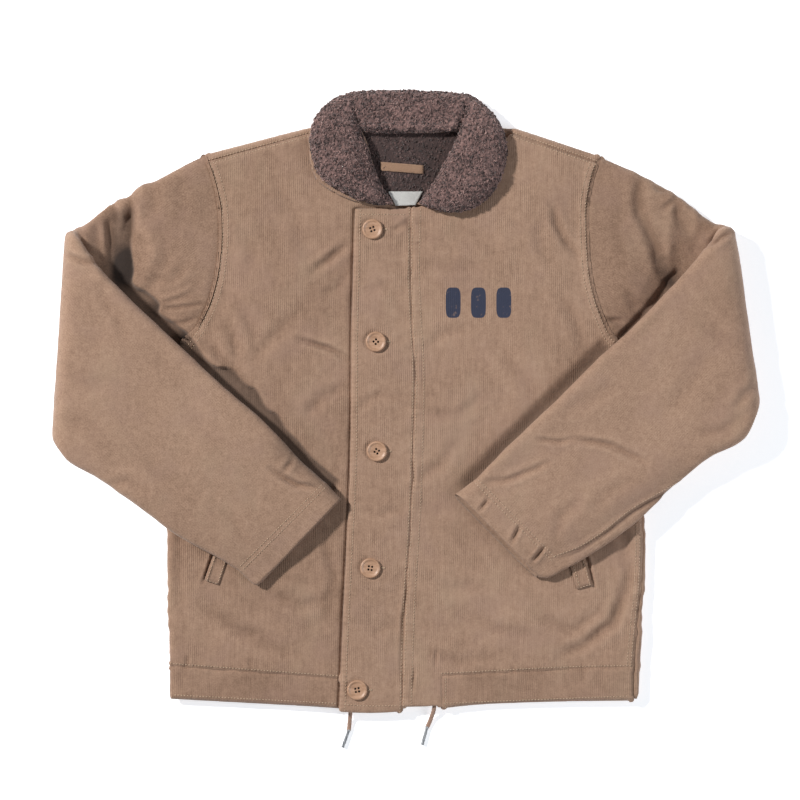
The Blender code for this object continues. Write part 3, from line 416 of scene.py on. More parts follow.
def movePoints(mesh, co):
    mesh.vertices.foreach_set("co", co.astype(np.float32).ravel())
    mesh.update()


def paint(mesh, name, values):
    layer = mesh.attributes.new(name, "FLOAT", "POINT")
    layer.data.foreach_set("value", np.asarray(values, np.float32))


def step(value, low, high):
    share = np.clip((value - low) / (high - low), 0, 1)
    return share * share * (3 - 2 * share)


def ripple(x, y, scale, seed):
    # smooth value noise, -1 to 1
    table = np.random.default_rng(seed).uniform(-1, 1, (97, 97))
    u, v = x / scale + 500, y / scale + 500
    i, j = np.floor(u).astype(int), np.floor(v).astype(int)
    fu, fv = u - i, v - j
    fu, fv = fu * fu * (3 - 2 * fu), fv * fv * (3 - 2 * fv)
    i, j, k, n = i % 97, j % 97, (i + 1) % 97, (j + 1) % 97
    near = table[i, j] * (1 - fu) + table[k, j] * fu
    far = table[i, n] * (1 - fu) + table[k, n] * fu
    return near * (1 - fv) + far * fv


def manyOf(name, model, places):
    # one copy of a small model at each place, a 4 by 4 matrix
    single = np.array([vertex.co[:] for vertex in model.verts])
    mesh = baked(name, model, [("ARRAY", {"count": len(places), "use_relative_offset": False})])
    turns = np.array([place[:] for place in places], float).reshape(-1, 4, 4)
    moved = np.einsum("nij,vj->nvi", turns[:, :3, :3], single) + turns[:, None, :3, 3]
    movePoints(mesh, moved.reshape(-1, 3))
    return mesh


def toLine(x, y, line):
    # signed distance (positive on the right of the way along), mm along the line, its length
    best = np.full(x.shape, 1e9)
    signed = np.zeros(x.shape)
    along = np.zeros(x.shape)
    done = 0.0
    for (ax, ay), (bx, by) in zip(line, line[1:]):
        dx, dy = bx - ax, by - ay
        length = math.hypot(dx, dy)
        share = np.clip(((x - ax) * dx + (y - ay) * dy) / length ** 2, 0, 1)
        distance = np.hypot(x - ax - share * dx, y - ay - share * dy)
        closer = distance < best
        side = np.where(dx * (y - ay) - dy * (x - ax) < 0, 1, -1)
        best = np.where(closer, distance, best)
        signed = np.where(closer, distance * side, signed)
        along = np.where(closer, done + share * length, along)
        done += length
    return signed, along, done


def creaseHeight(x, y, creases):
    # soft troughs with a low lip on both sides, uneven along their way; a negative depth is a ridge
    height = np.zeros(x.shape)
    for number, (line, width, depth) in enumerate(creases):
        signed, along, length = toLine(x, y, line)
        signed = signed + 0.35 * width * ripple(along, along * 0, 26, 40 + number)
        taper = np.sqrt(np.clip(np.sin(math.pi * np.clip(along / length, 0.02, 0.98)), 0, 1))
        uneven = taper * (1 + 0.3 * ripple(along, along * 0, 17, 70 + number))
        trough = np.exp(-(signed / width) ** 2)
        lips = np.exp(-((np.abs(signed) - 2.0 * width) / (1.1 * width)) ** 2)
        height -= depth * uneven * (trough - 0.4 * lips)
    return height


gatherPitch = 5.6  # mm from one gather of a sewn band to the next


def seamHeight(x, y, seams):
    # groove, raised allowance with stitched hollows, and puckers across a seam
    height = np.zeros(x.shape)
    for number, seam in enumerate(seams):
        signed, along, length = toLine(x, y, seam["line"])
        near = np.abs(signed)
        side = signed * seam.get("side", 1)
        ends = np.where((along > 0.5) & (along < length - 0.5), 1.0, 0.0)
        if "raised" in seam:
            wide = seam["raised"]
            shelf = step(side, -0.3, 0.8) * (1 - step(side, wide, wide + 2.5))
            height += seam.get("lift", 0.7) * shelf * ends
        for row in seam.get("rows", ()):
            height -= 0.35 * np.exp(-((side - row) / 1.3) ** 2) * ends
        height -= seam.get("groove", 0.8) * np.exp(-(near / 1.6) ** 2) * ends
        band = step(side, -2.5, 0) * (1 - step(side, seam.get("raised", 5), seam.get("raised", 5) + 3))
        phase = along * 2 * math.pi / gatherPitch + 2.6 * ripple(along, along * 0, 12, 90 + number)
        height += seam.get("gather", 0.26) * np.sin(phase) * band * ends
        pull = ripple(along, near * 0.35, seam.get("pucker", 8), 110 + number)
        height += seam.get("pull", 0.35) * pull * np.exp(-near / seam.get("reach", 11)) * ends
    return height


def clothWaves(x, y, seed, strength=1.0):
    # the slow unevenness of thick cloth that has been handled
    warpX = x + 9 * ripple(x, y, 46, seed + 1)
    warpY = y + 9 * ripple(x, y, 46, seed + 2)
    slow = 0.75 * ripple(warpX, warpY, 74, seed + 3)
    middle = 0.42 * ripple(warpX, warpY * 0.7, 27, seed + 4)
    quick = 0.17 * ripple(warpX, warpY * 0.8, 11, seed + 5)
    small = 0.07 * ripple(x, y, 5.5, seed + 6)
    return strength * (slow + middle + quick + small)


bm = bmesh.new()
bmesh.ops.create_grid(bm, x_segments=1, y_segments=1, size=5)
bmesh.ops.translate(bm, verts=bm.verts, vec=(0, 0, -0.0002))
floorMesh = asMesh("floor", bm)
floorMesh.materials.append(floorFinish("floor_paper"))
floor = bpy.data.objects.new("floor", floorMesh)
scene.collection.objects.link(floor)
stage("helpers and floor")


# drawcord ends, out of the notches in the hem

drawcords = {
    "drawcord_right": {
        "route": [(-63.2, -346.5, 10.65), (-63.4, -352, 10.6), (-63.9, -358, 8.2), (-64.5, -365, 4.6),
                  (-65.0, -371, 3.0), (-65.8, -378, 2.7)],
        "aglet": "aglet_right", "tip": (-73, -398),
    },
    "drawcord_left": {
        "route": [(32.6, -344.5, 10.9), (32.4, -350, 10.8), (31.2, -356.5, 7.6), (29.0, -363, 4.2),
                  (27.0, -368.5, 2.9), (24.2, -374.5, 2.7)],
        "aglet": "aglet_left", "tip": (18.6, -394.5),
    },
}
cordMake = {"radius": 2.4, "flat": 0.62, "points": 24, "sides": 14}
agletMake = {"radius": 1.85, "sides": 28, "length": 22, "overlap": 1.4, "edge": 0.5,
             "crimps": (-8.2, -7.0, -5.8, 5.8, 7.0, 8.2), "pinch": 0.86}


def smoothRoute(route, count):
    padded = [route[0], *route, route[-1]]
    places = []
    for k in range(count + 1):
        place = k / count * (len(route) - 1)
        n = min(int(place), len(route) - 2)
        t = place - n
        a, b, c, d = (Vector(p) for p in padded[n:n + 4])
        places.append(0.5 * (2 * b + (c - a) * t + (2 * a - 5 * b + 4 * c - d) * t ** 2
                             + (3 * b - a - 3 * c + d) * t ** 3))
    return places


def makeCord(name, settings):
    places = smoothRoute(settings["route"], cordMake["points"])
    bm = bmesh.new()
    ring = bmesh.ops.create_circle(bm, segments=cordMake["sides"], radius=cordMake["radius"] * mm,
                                   cap_ends=True)["verts"]
    for vertex in ring:
        vertex.co.y *= cordMake["flat"]
    base = [vertex.co.copy() for vertex in ring]
    face = bm.faces[:][0]
    for k, place in enumerate(places):
        before, after = places[max(k - 1, 0)], places[min(k + 1, len(places) - 1)]
        way = (after - before).normalized()
        side = Vector((0, 0, 1)).cross(way).normalized()
        turn = Matrix((side, way.cross(side), way)).transposed()
        if k:
            face = bmesh.ops.extrude_discrete_faces(bm, faces=[face])["faces"][0]
            ring = list(face.verts)
        fuzz = 1 + 0.05 * math.sin(k * 2.1)
        for vertex, start in zip(ring, base):
            vertex.co = turn @ (start * fuzz) + place * mm
        if k == 0:
            base = [turn.inverted() @ (vertex.co - place * mm) for vertex in face.verts]
    bmesh.ops.remove_doubles(bm, verts=bm.verts, dist=0.00001)
    bmesh.ops.recalc_face_normals(bm, faces=bm.faces)
    return addPiece(name + "_tape", asMesh(name, bm), "cord", name), places


def makeAglet(name, end, tip):
    start = Vector(end)
    way = (Vector((tip[0], tip[1], start.z)) - start).normalized()
    bm = bmesh.new()
    radius = agletMake["radius"] * mm
    bmesh.ops.create_cone(bm, cap_ends=True, segments=agletMake["sides"], radius1=radius, radius2=radius,
                          depth=agletMake["length"] * mm)
    rims = [e for e in bm.edges if abs(e.verts[0].co.z - e.verts[1].co.z) < 1e-6]
    bmesh.ops.bevel(bm, geom=rims, offset=agletMake["edge"] * mm, segments=4, affect="EDGES", profile=0.5,
                    material=-1)
    for number, height in enumerate(agletMake["crimps"]):
        cut = bmesh.ops.bisect_plane(bm, geom=bm.verts[:] + bm.edges[:] + bm.faces[:],
                                     plane_co=(0, 0, height * mm), plane_no=(0, 0, 1))
        if number % 3 == 1:  # the middle one of three is pressed in
            ring = [item for item in cut["geom_cut"] if isinstance(item, bmesh.types.BMVert)]
            bmesh.ops.scale(bm, vec=(agletMake["pinch"], agletMake["pinch"], 1), verts=ring)
    turn = way.to_track_quat("Z", "Y").to_matrix().to_4x4()
    centre = start + way * (agletMake["length"] / 2 - agletMake["overlap"])
    bmesh.ops.transform(bm, matrix=Matrix.Translation(centre * mm) @ turn, verts=bm.verts)
    return addPiece(name + "_sleeve", asMesh(name, bm), "aglet", name)


for name, settings in drawcords.items():
    piece, places = makeCord(name, settings)
    aglet = makeAglet(settings["aglet"], settings["route"][-1], settings["tip"])
    length = sum((b - a).length for a, b in zip(places, places[1:])) * mm
    tuple(places[0] * mm)
    [tuple(p * mm) for p in places]
stage("drawcord ends")


# seams of the body, in mm, shared by cloth and stitching

buttonPlaces = [(-38.5, 197.5), (-34.5, 68.7), (-33.4, -56.7), (-40.9, -190.4), (-55.8, -329.9)]
armholeRight = [(-231, 284), (-221, 258), (-213, 225), (-212, 183), (-217, 141), (-226, 110), (-240, 82),
                (-252, 66)]
armholeLeft = [(223, 282), (214, 259), (207.5, 224), (208, 184), (211, 144), (219, 112), (234, 77), (244, 67)]
shoulderRight = [(-228, 274.5), (-103, 308.5)]
shoulderLeft = [(122.5, 306), (223, 272.5)]
flyEdge = [(-77, -353), (-73, -252), (-68, -153), (-64, -69), (-63, 25), (-63, 82.5), (-61, 150), (-59, 221)]
flySeam = [(-5, -355), (-1, -233), (4, -153), (7, -92), (10, 25), (6.5, 95), (4.5, 150), (6, 221)]
channelRight = [(-270, -302.7), (-78, -317)]
channelLeft = [(41, -314), (177, -307), (258, -305)]
channelEnd = [(41.2, -350), (41.2, -314)]
sideLeft = [(259.5, -345), (259.5, -305), (263, -262), (267, -223), (269.5, -182), (269.5, -132),
            (267.5, -60), (261, 10), (239, 64)]


def roundLine(line):
    # a smooth line through the points of a seam
    places = smoothRoute([(x, y, 0) for x, y in line], max(40, 4 * len(line)))
    return [(p.x, p.y) for p in places]


def shifted(line, across):
    # the line moved to its right
    moved = []
    for n, (x, y) in enumerate(line):
        ax, ay = line[max(n - 1, 0)]
        bx, by = line[min(n + 1, len(line) - 1)]
        length = math.hypot(bx - ax, by - ay)
        moved.append((x + (by - ay) / length * across, y - (bx - ax) / length * across))
    return moved


armSeam = {"raised": 8.5, "rows": (1.8, 7.4), "lift": 0.8, "pull": 0.3, "pucker": 7}
shoulderSeam = {"side": 1, "raised": 6.5, "rows": (1.8, 5.6), "lift": 0.6, "pull": 0.25}
hemSeam = {"side": -1, "rows": (2.2,), "groove": 0.4, "pull": 0.6, "pucker": 8, "reach": 14}
bodySeams = [
    {"line": armholeRight, "side": -1, **armSeam},
    {"line": armholeLeft, "side": 1, **armSeam},
    {"line": shoulderRight, **shoulderSeam},
    {"line": shoulderLeft, **shoulderSeam},
    {"line": flySeam, "side": 1, "raised": 10, "rows": (1.8, 10), "lift": 0.5, "groove": 0.3, "pull": 0.7,
     "pucker": 8, "reach": 15},
    {"line": channelRight, **hemSeam},
    {"line": channelLeft, **hemSeam},
    {"line": flyEdge, "side": 1, "raised": 6.6, "rows": (7,), "lift": 0.35, "groove": 0, "gather": 0.3,
     "pull": 0.2},
    {"line": sideLeft, "side": -1, "raised": 7, "rows": (1.5, 6), "lift": 0.5, "pull": 0.4, "pucker": 8},
]

bodyCreases = [  # line, half width, depth; from the collar down, the wearer's right first
    ([(-122, 72), (-104, 66), (-88, 61), (-66, 47)], 3.0, 2.3),
    ([(-110, 150), (-92, 160), (-68, 180)], 4.4, 1.6),
    ([(-96, 120), (-80, 132), (-66, 152)], 5.0, 0.8),
    ([(-186, 44), (-150, 74), (-112, 112)], 7.0, 0.9),
    ([(-206, 120), (-186, 100), (-172, 66)], 6.0, 0.9),
    ([(-205, 90), (-196, 60), (-200, 30)], 6.5, 1.0),
    ([(-226, 66), (-206, 40), (-176, 20)], 5.5, 1.2),
    ([(-150, 250), (-128, 210), (-122, 170)], 8.0, 0.7),
    ([(-118, -20), (-92, 8), (-68, 20)], 6.0, 0.9),
    ([(-190, 210), (-176, 170), (-178, 140)], 7.0, 0.6),
    ([(-96, -150), (-84, -200), (-90, -250)], 6.0, 0.8),
    ([(-240, -230), (-190, -262), (-130, -290)], 8.0, 1.2),
    ([(-160, -215), (-120, -232), (-82, -226)], 6.5, 0.8),
    ([(-256, -120), (-262, -180), (-258, -240)], 6.0, 0.9),
    # fly
    ([(-58, -10), (-30, 8), (4, 10)], 5.0, 0.5),
    ([(-56, 120), (-28, 132), (2, 124)], 6.0, 0.5),
    ([(-60, -110), (-30, -128), (0, -120)], 5.5, 0.5),
    ([(-64, -250), (-36, -262), (-4, -252)], 6.0, 0.5),
    ([(1, 214), (3, 202), (9, 190)], 3.2, 1.1),
    ([(6, 212), (14, 206), (26, 203)], 2.8, 0.9),
    ([(4, 208), (-6, 200), (-18, 196)], 3.0, 0.7),
    # the wearer's left
    ([(168, 226), (172, 204), (182, 184), (197, 168)], 4.2, 1.6),
    ([(150, 206), (156, 178), (172, 150)], 7.0, 0.7),
    ([(20, 160), (52, 152), (84, 158)], 6.5, 0.7),
    ([(18, 60), (44, 78), (70, 82)], 6.0, 0.7),
    ([(22, -10), (60, -16), (88, 2)], 6.0, 0.8),
    ([(16, -90), (40, -70), (62, -42)], 6.0, 0.8),
    ([(104, 64), (132, 30), (150, 2)], 8.0, 0.9),
    ([(176, 120), (196, 92), (206, 60)], 6.5, 1.0),
    ([(60, 200), (98, 178), (110, 150)], 8.0, 0.6),
    ([(24, -200), (52, -214), (88, -208)], 6.5, 0.7),
    ([(60, -236), (100, -262), (150, -270)], 7.5, 0.9),
    ([(177, -291), (206, -276), (236, -252), (250, -220), (259, -191)], 5.5, 1.9),
    ([(150, -250), (190, -262), (222, -240)], 6.5, 1.0),
    ([(20, -286), (60, -298), (100, -290)], 6.0, 0.8),
    ([(232, -120), (250, -160), (254, -200)], 6.0, 0.9),
    # puckers of the fly seam and the hem
    ([(7, -66), (8.5, -84), (6.5, -104)], 1.8, 1.1),
    ([(4, -200), (0, -222), (-3, -246), (-4, -272), (-5.5, -296), (-5, -316)], 1.8, 1.2),
    ([(9.5, -306), (8, -318), (7, -332)], 1.7, 1.1),
    ([(35, -284), (33.5, -304)], 1.8, 0.9),
    ([(12, 60), (10.5, 40), (12, 20)], 1.8, 0.9),
    ([(5, 176), (8, 160), (4, 140)], 1.8, 0.8),
    ([(-250, -292), (-252, -304)], 2.0, 0.9),
    ([(-180, -296), (-178, -310)], 2.0, 0.7),
    ([(120, -298), (124, -312)], 2.0, 0.7),
    # pocket mouths, on the outer side of each welt
    ([(-216, -160), (-224, -184), (-233, -208)], 1.7, 2.4),
    ([(200, -160), (209, -184), (216, -212)], 1.7, 2.4),
]

underarms = [[(-252, 66), (-263, 46)], [(244, 67), (254, 49)]]
sewnEdges = [armholeRight, armholeLeft, shoulderRight, shoulderLeft, flySeam, channelRight, channelLeft,
             channelEnd, sideLeft, *underarms]
# how far a wall moves into its neighbour at a sewn edge, and how much more at the armpits
overlap = {"reach": 6.0, "push": 1.9, "corner": 7.0, "cornerReach": 14}


def closeSeams(co, normal, lines):
    x, y = co[:, 0] / mm, co[:, 1] / mm
    armpits = [armholeRight[-1], armholeLeft[-1]]
    corner = np.min([np.hypot(x - pitX, y - pitY) for pitX, pitY in armpits], axis=0)
    push = overlap["push"] + overlap["corner"] * np.exp(-(corner / overlap["cornerReach"]) ** 2)
    near = np.min([np.abs(toLine(x, y, line)[0]) for line in lines], axis=0)
    wall = 1 - step(np.abs(normal[:, 2]), 0.35, 0.8)
    wall = wall * (1 - step(near, overlap["reach"] - 2, overlap["reach"]))
    flat = np.maximum(np.hypot(normal[:, 0], normal[:, 1]), 0.05)
    for axis in (0, 1):
        co[:, axis] += normal[:, axis] / flat * wall * push * mm


# where cloth drops away beside a forearm: its edge (the low side on the right), depth, run, reach, darkness of
# the painted shade
falls = {
    "front_right": ([(-262, 92), (-247, 77), (-242, 69), (-223, 43.5), (-200, 38), (-184, 21), (-170, 13),
                     (-159, -7), (-146, -15), (-136, -32), (-122, -46), (-110, -61), (-96, -74), (-84, -84),
                     (-71, -96)], 8.0, 3.0, 26, 0.6),
    "front_left": ([(49, -96), (110, -34), (170, 26), (226, 79)], 5.6, 18, 40, 0.28),
    "sleeve_right": ([(-311, 226), (-313, 200), (-314, 177), (-311, 152), (-312, 135.5), (-296, 126),
                      (-281.5, 113), (-281, 101), (-265, 91), (-247, 77), (-240, 66)], 9.0, 4.0, 26, 0.52),
    "sleeve_left": ([(228, 66), (250, 88), (276, 116), (296, 142), (312, 160)], 5.0, 8, 30, 0.12),
}
pits = {  # the deepest places of the upper arms: place, radius, depth, darkness of the painted shade
    "sleeve_right": [(-318, 166, 14, 1.5, 0.5), (-317, 146, 14, 2.0, 0.55), (-334, 152, 17, 0.5, 0.4),
                     (-285, 107, 9, 0.5, 0.3), (-254, 73, 7, 1.0, 0.5)],
    "sleeve_left": [(303, 137, 9, 4.0, 0.6), (297, 149, 8, 2.0, 0.42), (291, 162, 8, 1.0, 0.3),
                    (252, 80, 7, 1.0, 0.25)],
}
darkestPaintedShade = 0.93  # the most painted shade in a hollow


def fallDepth(x, y, node):
    # how far the cloth lies down, and how much painted shade it gets there
    if node not in falls:
        return np.zeros(x.shape), np.zeros(x.shape)
    line, depth, run, reach, darkness = falls[node]
    signed, along, length = toLine(x, y, roundLine(line))
    ends = step(along, 0, 22) * (1 - step(along, length - 12, length))
    share = ends * step(signed, -0.6, run) * (1 - step(signed, reach * 0.7, reach * 1.3))
    down, dark = depth * share, darkness * share
    inside = step(signed, -0.6, run) if run < 5 else 1.0
    for pitX, pitY, radius, deeper, darker in pits.get(node, ()):
        spot = np.exp(-((x - pitX) ** 2 + (y - pitY) ** 2) / radius ** 2) * inside
        down, dark = down + deeper * spot, dark + darker * spot
    return down, np.clip(dark, 0, darkestPaintedShade)


valley = {"depth": 3.0, "reach": (2, 48), "end": 30}  # the cloth sinks towards the armholes
buttonDent = {"depth": 0.9, "ring": 12.4, "width": 2.2}
bodyStrength = {"waves": 1.4, "creases": 1.7}


def seamValley(x, y):
    dip = np.zeros(x.shape)
    for line in (armholeRight, armholeLeft):
        signed, along, length = toLine(x, y, line)
        ends = 1 - step(along, length - valley["end"], length)
        dip += valley["depth"] * (1 - step(np.abs(signed), *valley["reach"])) * ends
    return dip


def bodyField(x, y, seed):
    rings = sum(np.exp(-((np.hypot(x - bx, y - by) - buttonDent["ring"]) / buttonDent["width"]) ** 2)
                for bx, by in buttonPlaces)
    folds = bodyStrength["creases"] * creaseHeight(x, y, bodyCreases)
    return (clothWaves(x, y, seed, bodyStrength["waves"]) + folds + seamHeight(x, y, bodySeams)
            - seamValley(x, y) - buttonDent["depth"] * rings)


sideWobble = {"middle": -5, "edge": (246, 262), "below": (20, 60), "waves": [(0.9, 8, 201), (0.7, 19, 202)]}


def wobbleSides(co):
    # the hanging side edges aren't straight
    x, y = co[:, 0] / mm, co[:, 1] / mm
    edge = step(np.abs(x - sideWobble["middle"]), *sideWobble["edge"]) * (1 - step(y, *sideWobble["below"]))
    waves = sum(high * ripple(y, y * 0, scale, seed) for high, scale, seed in sideWobble["waves"])
    co[:, 0] += edge * waves * mm


thinnest = 0.9  # mm of a panel left over its floor


def dressBody(node, settings):
    # a panel: the node's form remeshed, its upper side creased, the hidden floor closed with one face
    bm = nodeShape(node)
    creaseEdges(bm, 40)
    mesh = remeshed(node, bm, 1, settings["voxel"], settings.get("smooth", 3))
    co, normal = points(mesh), points(mesh, "normal")
    x, y = co[:, 0] / mm, co[:, 1] / mm
    field = bodyField(x, y, settings["seed"]) - fallDepth(x, y, node)[0]
    for line, high in settings.get("lips", ()):
        field += high * (1 - step(np.abs(toLine(x, y, line)[0]), 1, 9))
    top = step(normal[:, 2], 0.15, 0.75)
    lowest = np.minimum(co[:, 2], (settings.get("floor", 0) + thinnest) * mm)
    co[:, 2] = np.where(top > 0, np.maximum(co[:, 2] + field * top * mm, lowest), co[:, 2])
    closeSeams(co, normal, sewnEdges)
    wobbleSides(co)
    if "under" in settings:
        low = step(-normal[:, 2], 0.5, 0.9)
        co[:, 2] += settings["under"] * low * (clothWaves(x, y, 9) + 1.4) * mm
    movePoints(mesh, co)
    if "floor" in settings:
        bm = bmesh.new()
        bm.from_mesh(mesh)
        bmesh.ops.bisect_plane(bm, geom=bm.verts[:] + bm.edges[:] + bm.faces[:], clear_outer=True,
                               plane_co=(0, 0, settings["floor"] * mm), plane_no=(0, 0, -1))
        rim = [edge for edge in bm.edges if edge.is_boundary]
        bmesh.ops.triangle_fill(bm, use_beauty=True, use_dissolve=False, edges=rim, normal=(0, 0, -1))
        bm.to_mesh(mesh)
        bm.free()
        co = points(mesh)
        x, y = co[:, 0] / mm, co[:, 1] / mm
    paint(mesh, "grain", x + 1.2 * ripple(x, y, 60, 5) + 0.5 * ripple(x, y, 22, 6))
    # crease troughs painted darker and raised seams lighter, painted shade and light, plus the panel's tone
    # offset
    relief = seamHeight(x, y, bodySeams) + 0.85 * creaseHeight(x, y, bodyCreases)
    paint(mesh, "relief", np.clip(relief, -1.4, 1.0) + settings.get("shade", 0))
    # painted shade in the trench beside a forearm
    paint(mesh, "deep", fallDepth(x, y, node)[1])
    return addPiece(node + "_cloth", mesh, settings.get("finish", "shell"), node)


panels = {
    "back": {"voxel": 3.4, "seed": 1, "under": 0.25},
    "front_right": {"voxel": 2.0, "seed": 21, "floor": 8.8, "shade": -0.75},
    "front_left": {"voxel": 2.0, "seed": 31, "floor": 8.8, "shade": -0.15, "finish": "shellMarked",
                   "lips": [(flySeam, 0.8)]},
    "fly": {"voxel": 1.6, "seed": 41, "smooth": 2},
    "hem_channel_right": {"voxel": 1.6, "seed": 51, "smooth": 2, "shade": -0.95},
    "hem_channel_left": {"voxel": 1.6, "seed": 61, "smooth": 2, "shade": -0.5},
}
dressed = {}
for node, settings in panels.items():
    dressed[node] = dressBody(node, settings)
    print(node, len(dressed[node].data.polygons), "faces")
stage("body panels")


# sleeves

# heights in mm: the underside lies below "under", the upper arm's top from "low" to "split" and never pressed
# below "lowest", the forearm above "split" with its top from "high"; it is "thick" mm from "forearm" up
layers = {"under": 4, "low": 6, "split": 21.3, "high": 30, "lowest": 4.2, "forearm": 19.4, "thick": 21}
sleeves = {
    "sleeve_right": {
        "voxel": 2.0, "seed": 81, "outward": -1,
        "fold": ((-391.5, 194), (-407.04, -50)), "armWay": (0.761, -0.64),
        "cuffTop": (-73, -112), "cuffLow": (-172.5, -211), "cuffWay": (0.722, -0.692), "underLap": 1.5,
        "dip": 0.7, "shadeBands": [([(-160, -32), (-128, -62), (-72, -104)], 14, 0.34)],
        "edges": [((-345, 142), (-95, -98), 15, 3.4), ((-176, -205), (-150, -190), 36, -9.0)],
        "bumps": [(-301, 249, 9, 2.4), (-322, 238, 7, -1.6), (-344, 226, 9, 2.6), (-364, 212, 7, -1.0)],
        "upper": [  # on the forearm
            ([(-154, -76), (-140, -86), (-124, -95), (-104, -99)], 3.0, 2.6),
            ([(-128, -62), (-131, -70), (-140, -80)], 3.0, 1.2),
            ([(-300, -60), (-270, -88), (-240, -110)], 9.0, 0.9),
            ([(-348, 130), (-330, 96), (-322, 66)], 6.0, 0.9),
            ([(-388, 168), (-368, 158), (-352, 156)], 3.2, 2.0),
            ([(-392, 40), (-364, 20), (-330, 16)], 9.0, 0.8),
            ([(-396, -20), (-360, -30), (-320, -70)], 9.0, 0.8),
            ([(-290, 60), (-262, 26), (-236, -4)], 8.0, 0.7),
            ([(-250, -10), (-220, -40), (-196, -80)], 9.0, 0.7),
            ([(-225, -120), (-200, -134), (-180, -160)], 6.0, 0.7),
            ([(-340, -96), (-316, -90), (-290, -108)], 5.0, 0.8),
        ],
        "lower": [  # on the upper arm
            ([(-316, 238), (-314, 216), (-318, 186)], 4.6, 2.4),
            ([(-342, 214), (-340, 196), (-337, 178)], 4.2, 2.6),
            ([(-384, 196), (-372, 184), (-360, 170)], 3.2, 2.2),
            ([(-277, 107), (-256, 109), (-231, 112)], 2.4, 1.6),
            ([(-280, 118), (-262, 122), (-244, 130)], 3.0, -0.9),
            ([(-304, 210), (-290, 176), (-296, 150)], 8.0, -1.2),
            ([(-330, 232), (-327, 214), (-328, 196)], 4.0, -1.3),
            ([(-262, 262), (-256, 232), (-262, 200)], 8.0, 0.8),
            ([(-250, 160), (-268, 140), (-290, 138)], 5.5, 0.8),
            ([(-290, 250), (-288, 226), (-296, 206)], 6.0, 0.7),
            ([(-240, 96), (-256, 90), (-270, 92)], 3.0, 1.1),
        ],
    },
    "sleeve_left": {
        "voxel": 2.0, "seed": 91, "outward": 1,
        "fold": ((377.3, 197), (406.8, -5)), "armWay": (0.775, -0.63),
        "cuffTop": (60, -107), "cuffLow": (152, -200), "cuffWay": (-0.711, -0.703), "underLap": 5.0,
        "dip": -0.3, "shadeBands": [([(168, -182), (198, -170), (226, -152), (259, -126), (312, -96)], 1.8, 0.5)],
        "edges": [((150, -198), (318, -92), 20, -7.5), ((80, -90), (300, 122), 14, 1.5)],
        "bumps": [(270, 261, 9, 1.6), (292, 250, 7, -1.2), (314, 241, 9, 2.0)],
        "upper": [
            ([(150, -42), (173, -46), (190, -43)], 2.6, 1.5),
            ([(190, -43), (212, -46), (234, -50), (273, -70)], 3.4, 1.9),
            ([(92, -93), (118, -88), (145, -79), (161, -69)], 3.2, 2.0),
            ([(95, -111), (84, -125)], 2.2, 1.5),  # puckers of the cuff
            ([(130, -141), (120, -160)], 2.4, 1.8),
            ([(158, -165), (144, -182)], 2.2, 1.8),
            ([(372, 194), (358, 188), (345, 178)], 3.4, 2.2),
            ([(350, 60), (320, 20), (290, -20)], 10.0, 0.9),
            ([(396, 60), (360, 70), (322, 92)], 8.0, 0.9),
            ([(388, -12), (362, -34), (330, -36)], 6.0, 1.0),
            ([(300, 112), (270, 80), (236, 60)], 8.0, 0.7),
            ([(240, 20), (204, -2), (176, -12)], 8.0, 0.8),
            ([(262, -90), (230, -104), (206, -130)], 7.0, 0.8),
            ([(198, -110), (176, -132), (168, -160)], 6.0, 0.8),
            ([(402, 20), (384, 8), (372, -12)], 5.0, 1.1),
            ([(170, -180), (198, -169), (226, -151), (259, -125), (312, -95)], 2.0, 1.3),  # underarm seam
        ],
        "lower": [
            ([(270, 257), (267, 236), (267, 215), (276, 196), (286, 175), (294, 140)], 6.0, 2.8),
            ([(283, 247), (290, 243), (298, 241)], 3.0, 1.2),
            ([(295, 220), (302, 226), (309, 234)], 3.0, 1.4),
            ([(312, 236), (313, 216), (318, 196)], 4.4, 1.5),
            ([(371, 200), (358, 192), (345, 178)], 3.6, 2.0),
            ([(225, 96), (236, 93), (247, 92)], 2.6, 1.6),
            ([(298, 210), (300, 190), (304, 166)], 6.0, -1.3),
            ([(246, 226), (240, 196), (246, 160)], 8.0, 0.8),
            ([(250, 130), (262, 112), (282, 108)], 5.0, 1.0),
            ([(330, 222), (332, 206), (330, 190)], 4.4, -1.1),
        ],
    },
}


def largestSkin(bm, degrees):
    # keeps the outer skin of a tube with walls: the faces joined to the highest one over blunt edges
    seed = max(bm.faces, key=lambda face: face.calc_center_median().z)
    kept = {seed}
    waiting = [seed]
    while waiting:
        face = waiting.pop()
        for edge in face.edges:
            if len(edge.link_faces) != 2 or edge.calc_face_angle(0) > math.radians(degrees):
                continue
            for other in edge.link_faces:
                if other not in kept:
                    kept.add(other)
                    waiting.append(other)
    bmesh.ops.delete(bm, geom=[face for face in bm.faces if face not in kept], context="FACES")


def sleeveGrain(x, y, z, settings):
    # distance across the ribs, which run along the arm and turn back at the fold
    top, low = Vector(settings["fold"][0]), Vector(settings["fold"][1])
    up = (top - low).normalized()
    out = Vector((-up.y, up.x))
    if out.x * settings["outward"] < 0:
        out = -out
    alongUp = x * up.x + y * up.y
    alongOut = x * out.x + y * out.y
    edge = top.dot(out)
    cos, sin = settings["armWay"]
    turned = np.where(z < layers["split"], alongOut, 2 * edge - alongOut)
    return alongUp * cos - turned * sin


def cuffFrame(settings):
    way = Vector((*settings["cuffWay"], 0)).normalized()
    top, low = Vector((*settings["cuffTop"], 0)), Vector((*settings["cuffLow"], 0))
    return (top + low) / 2, way


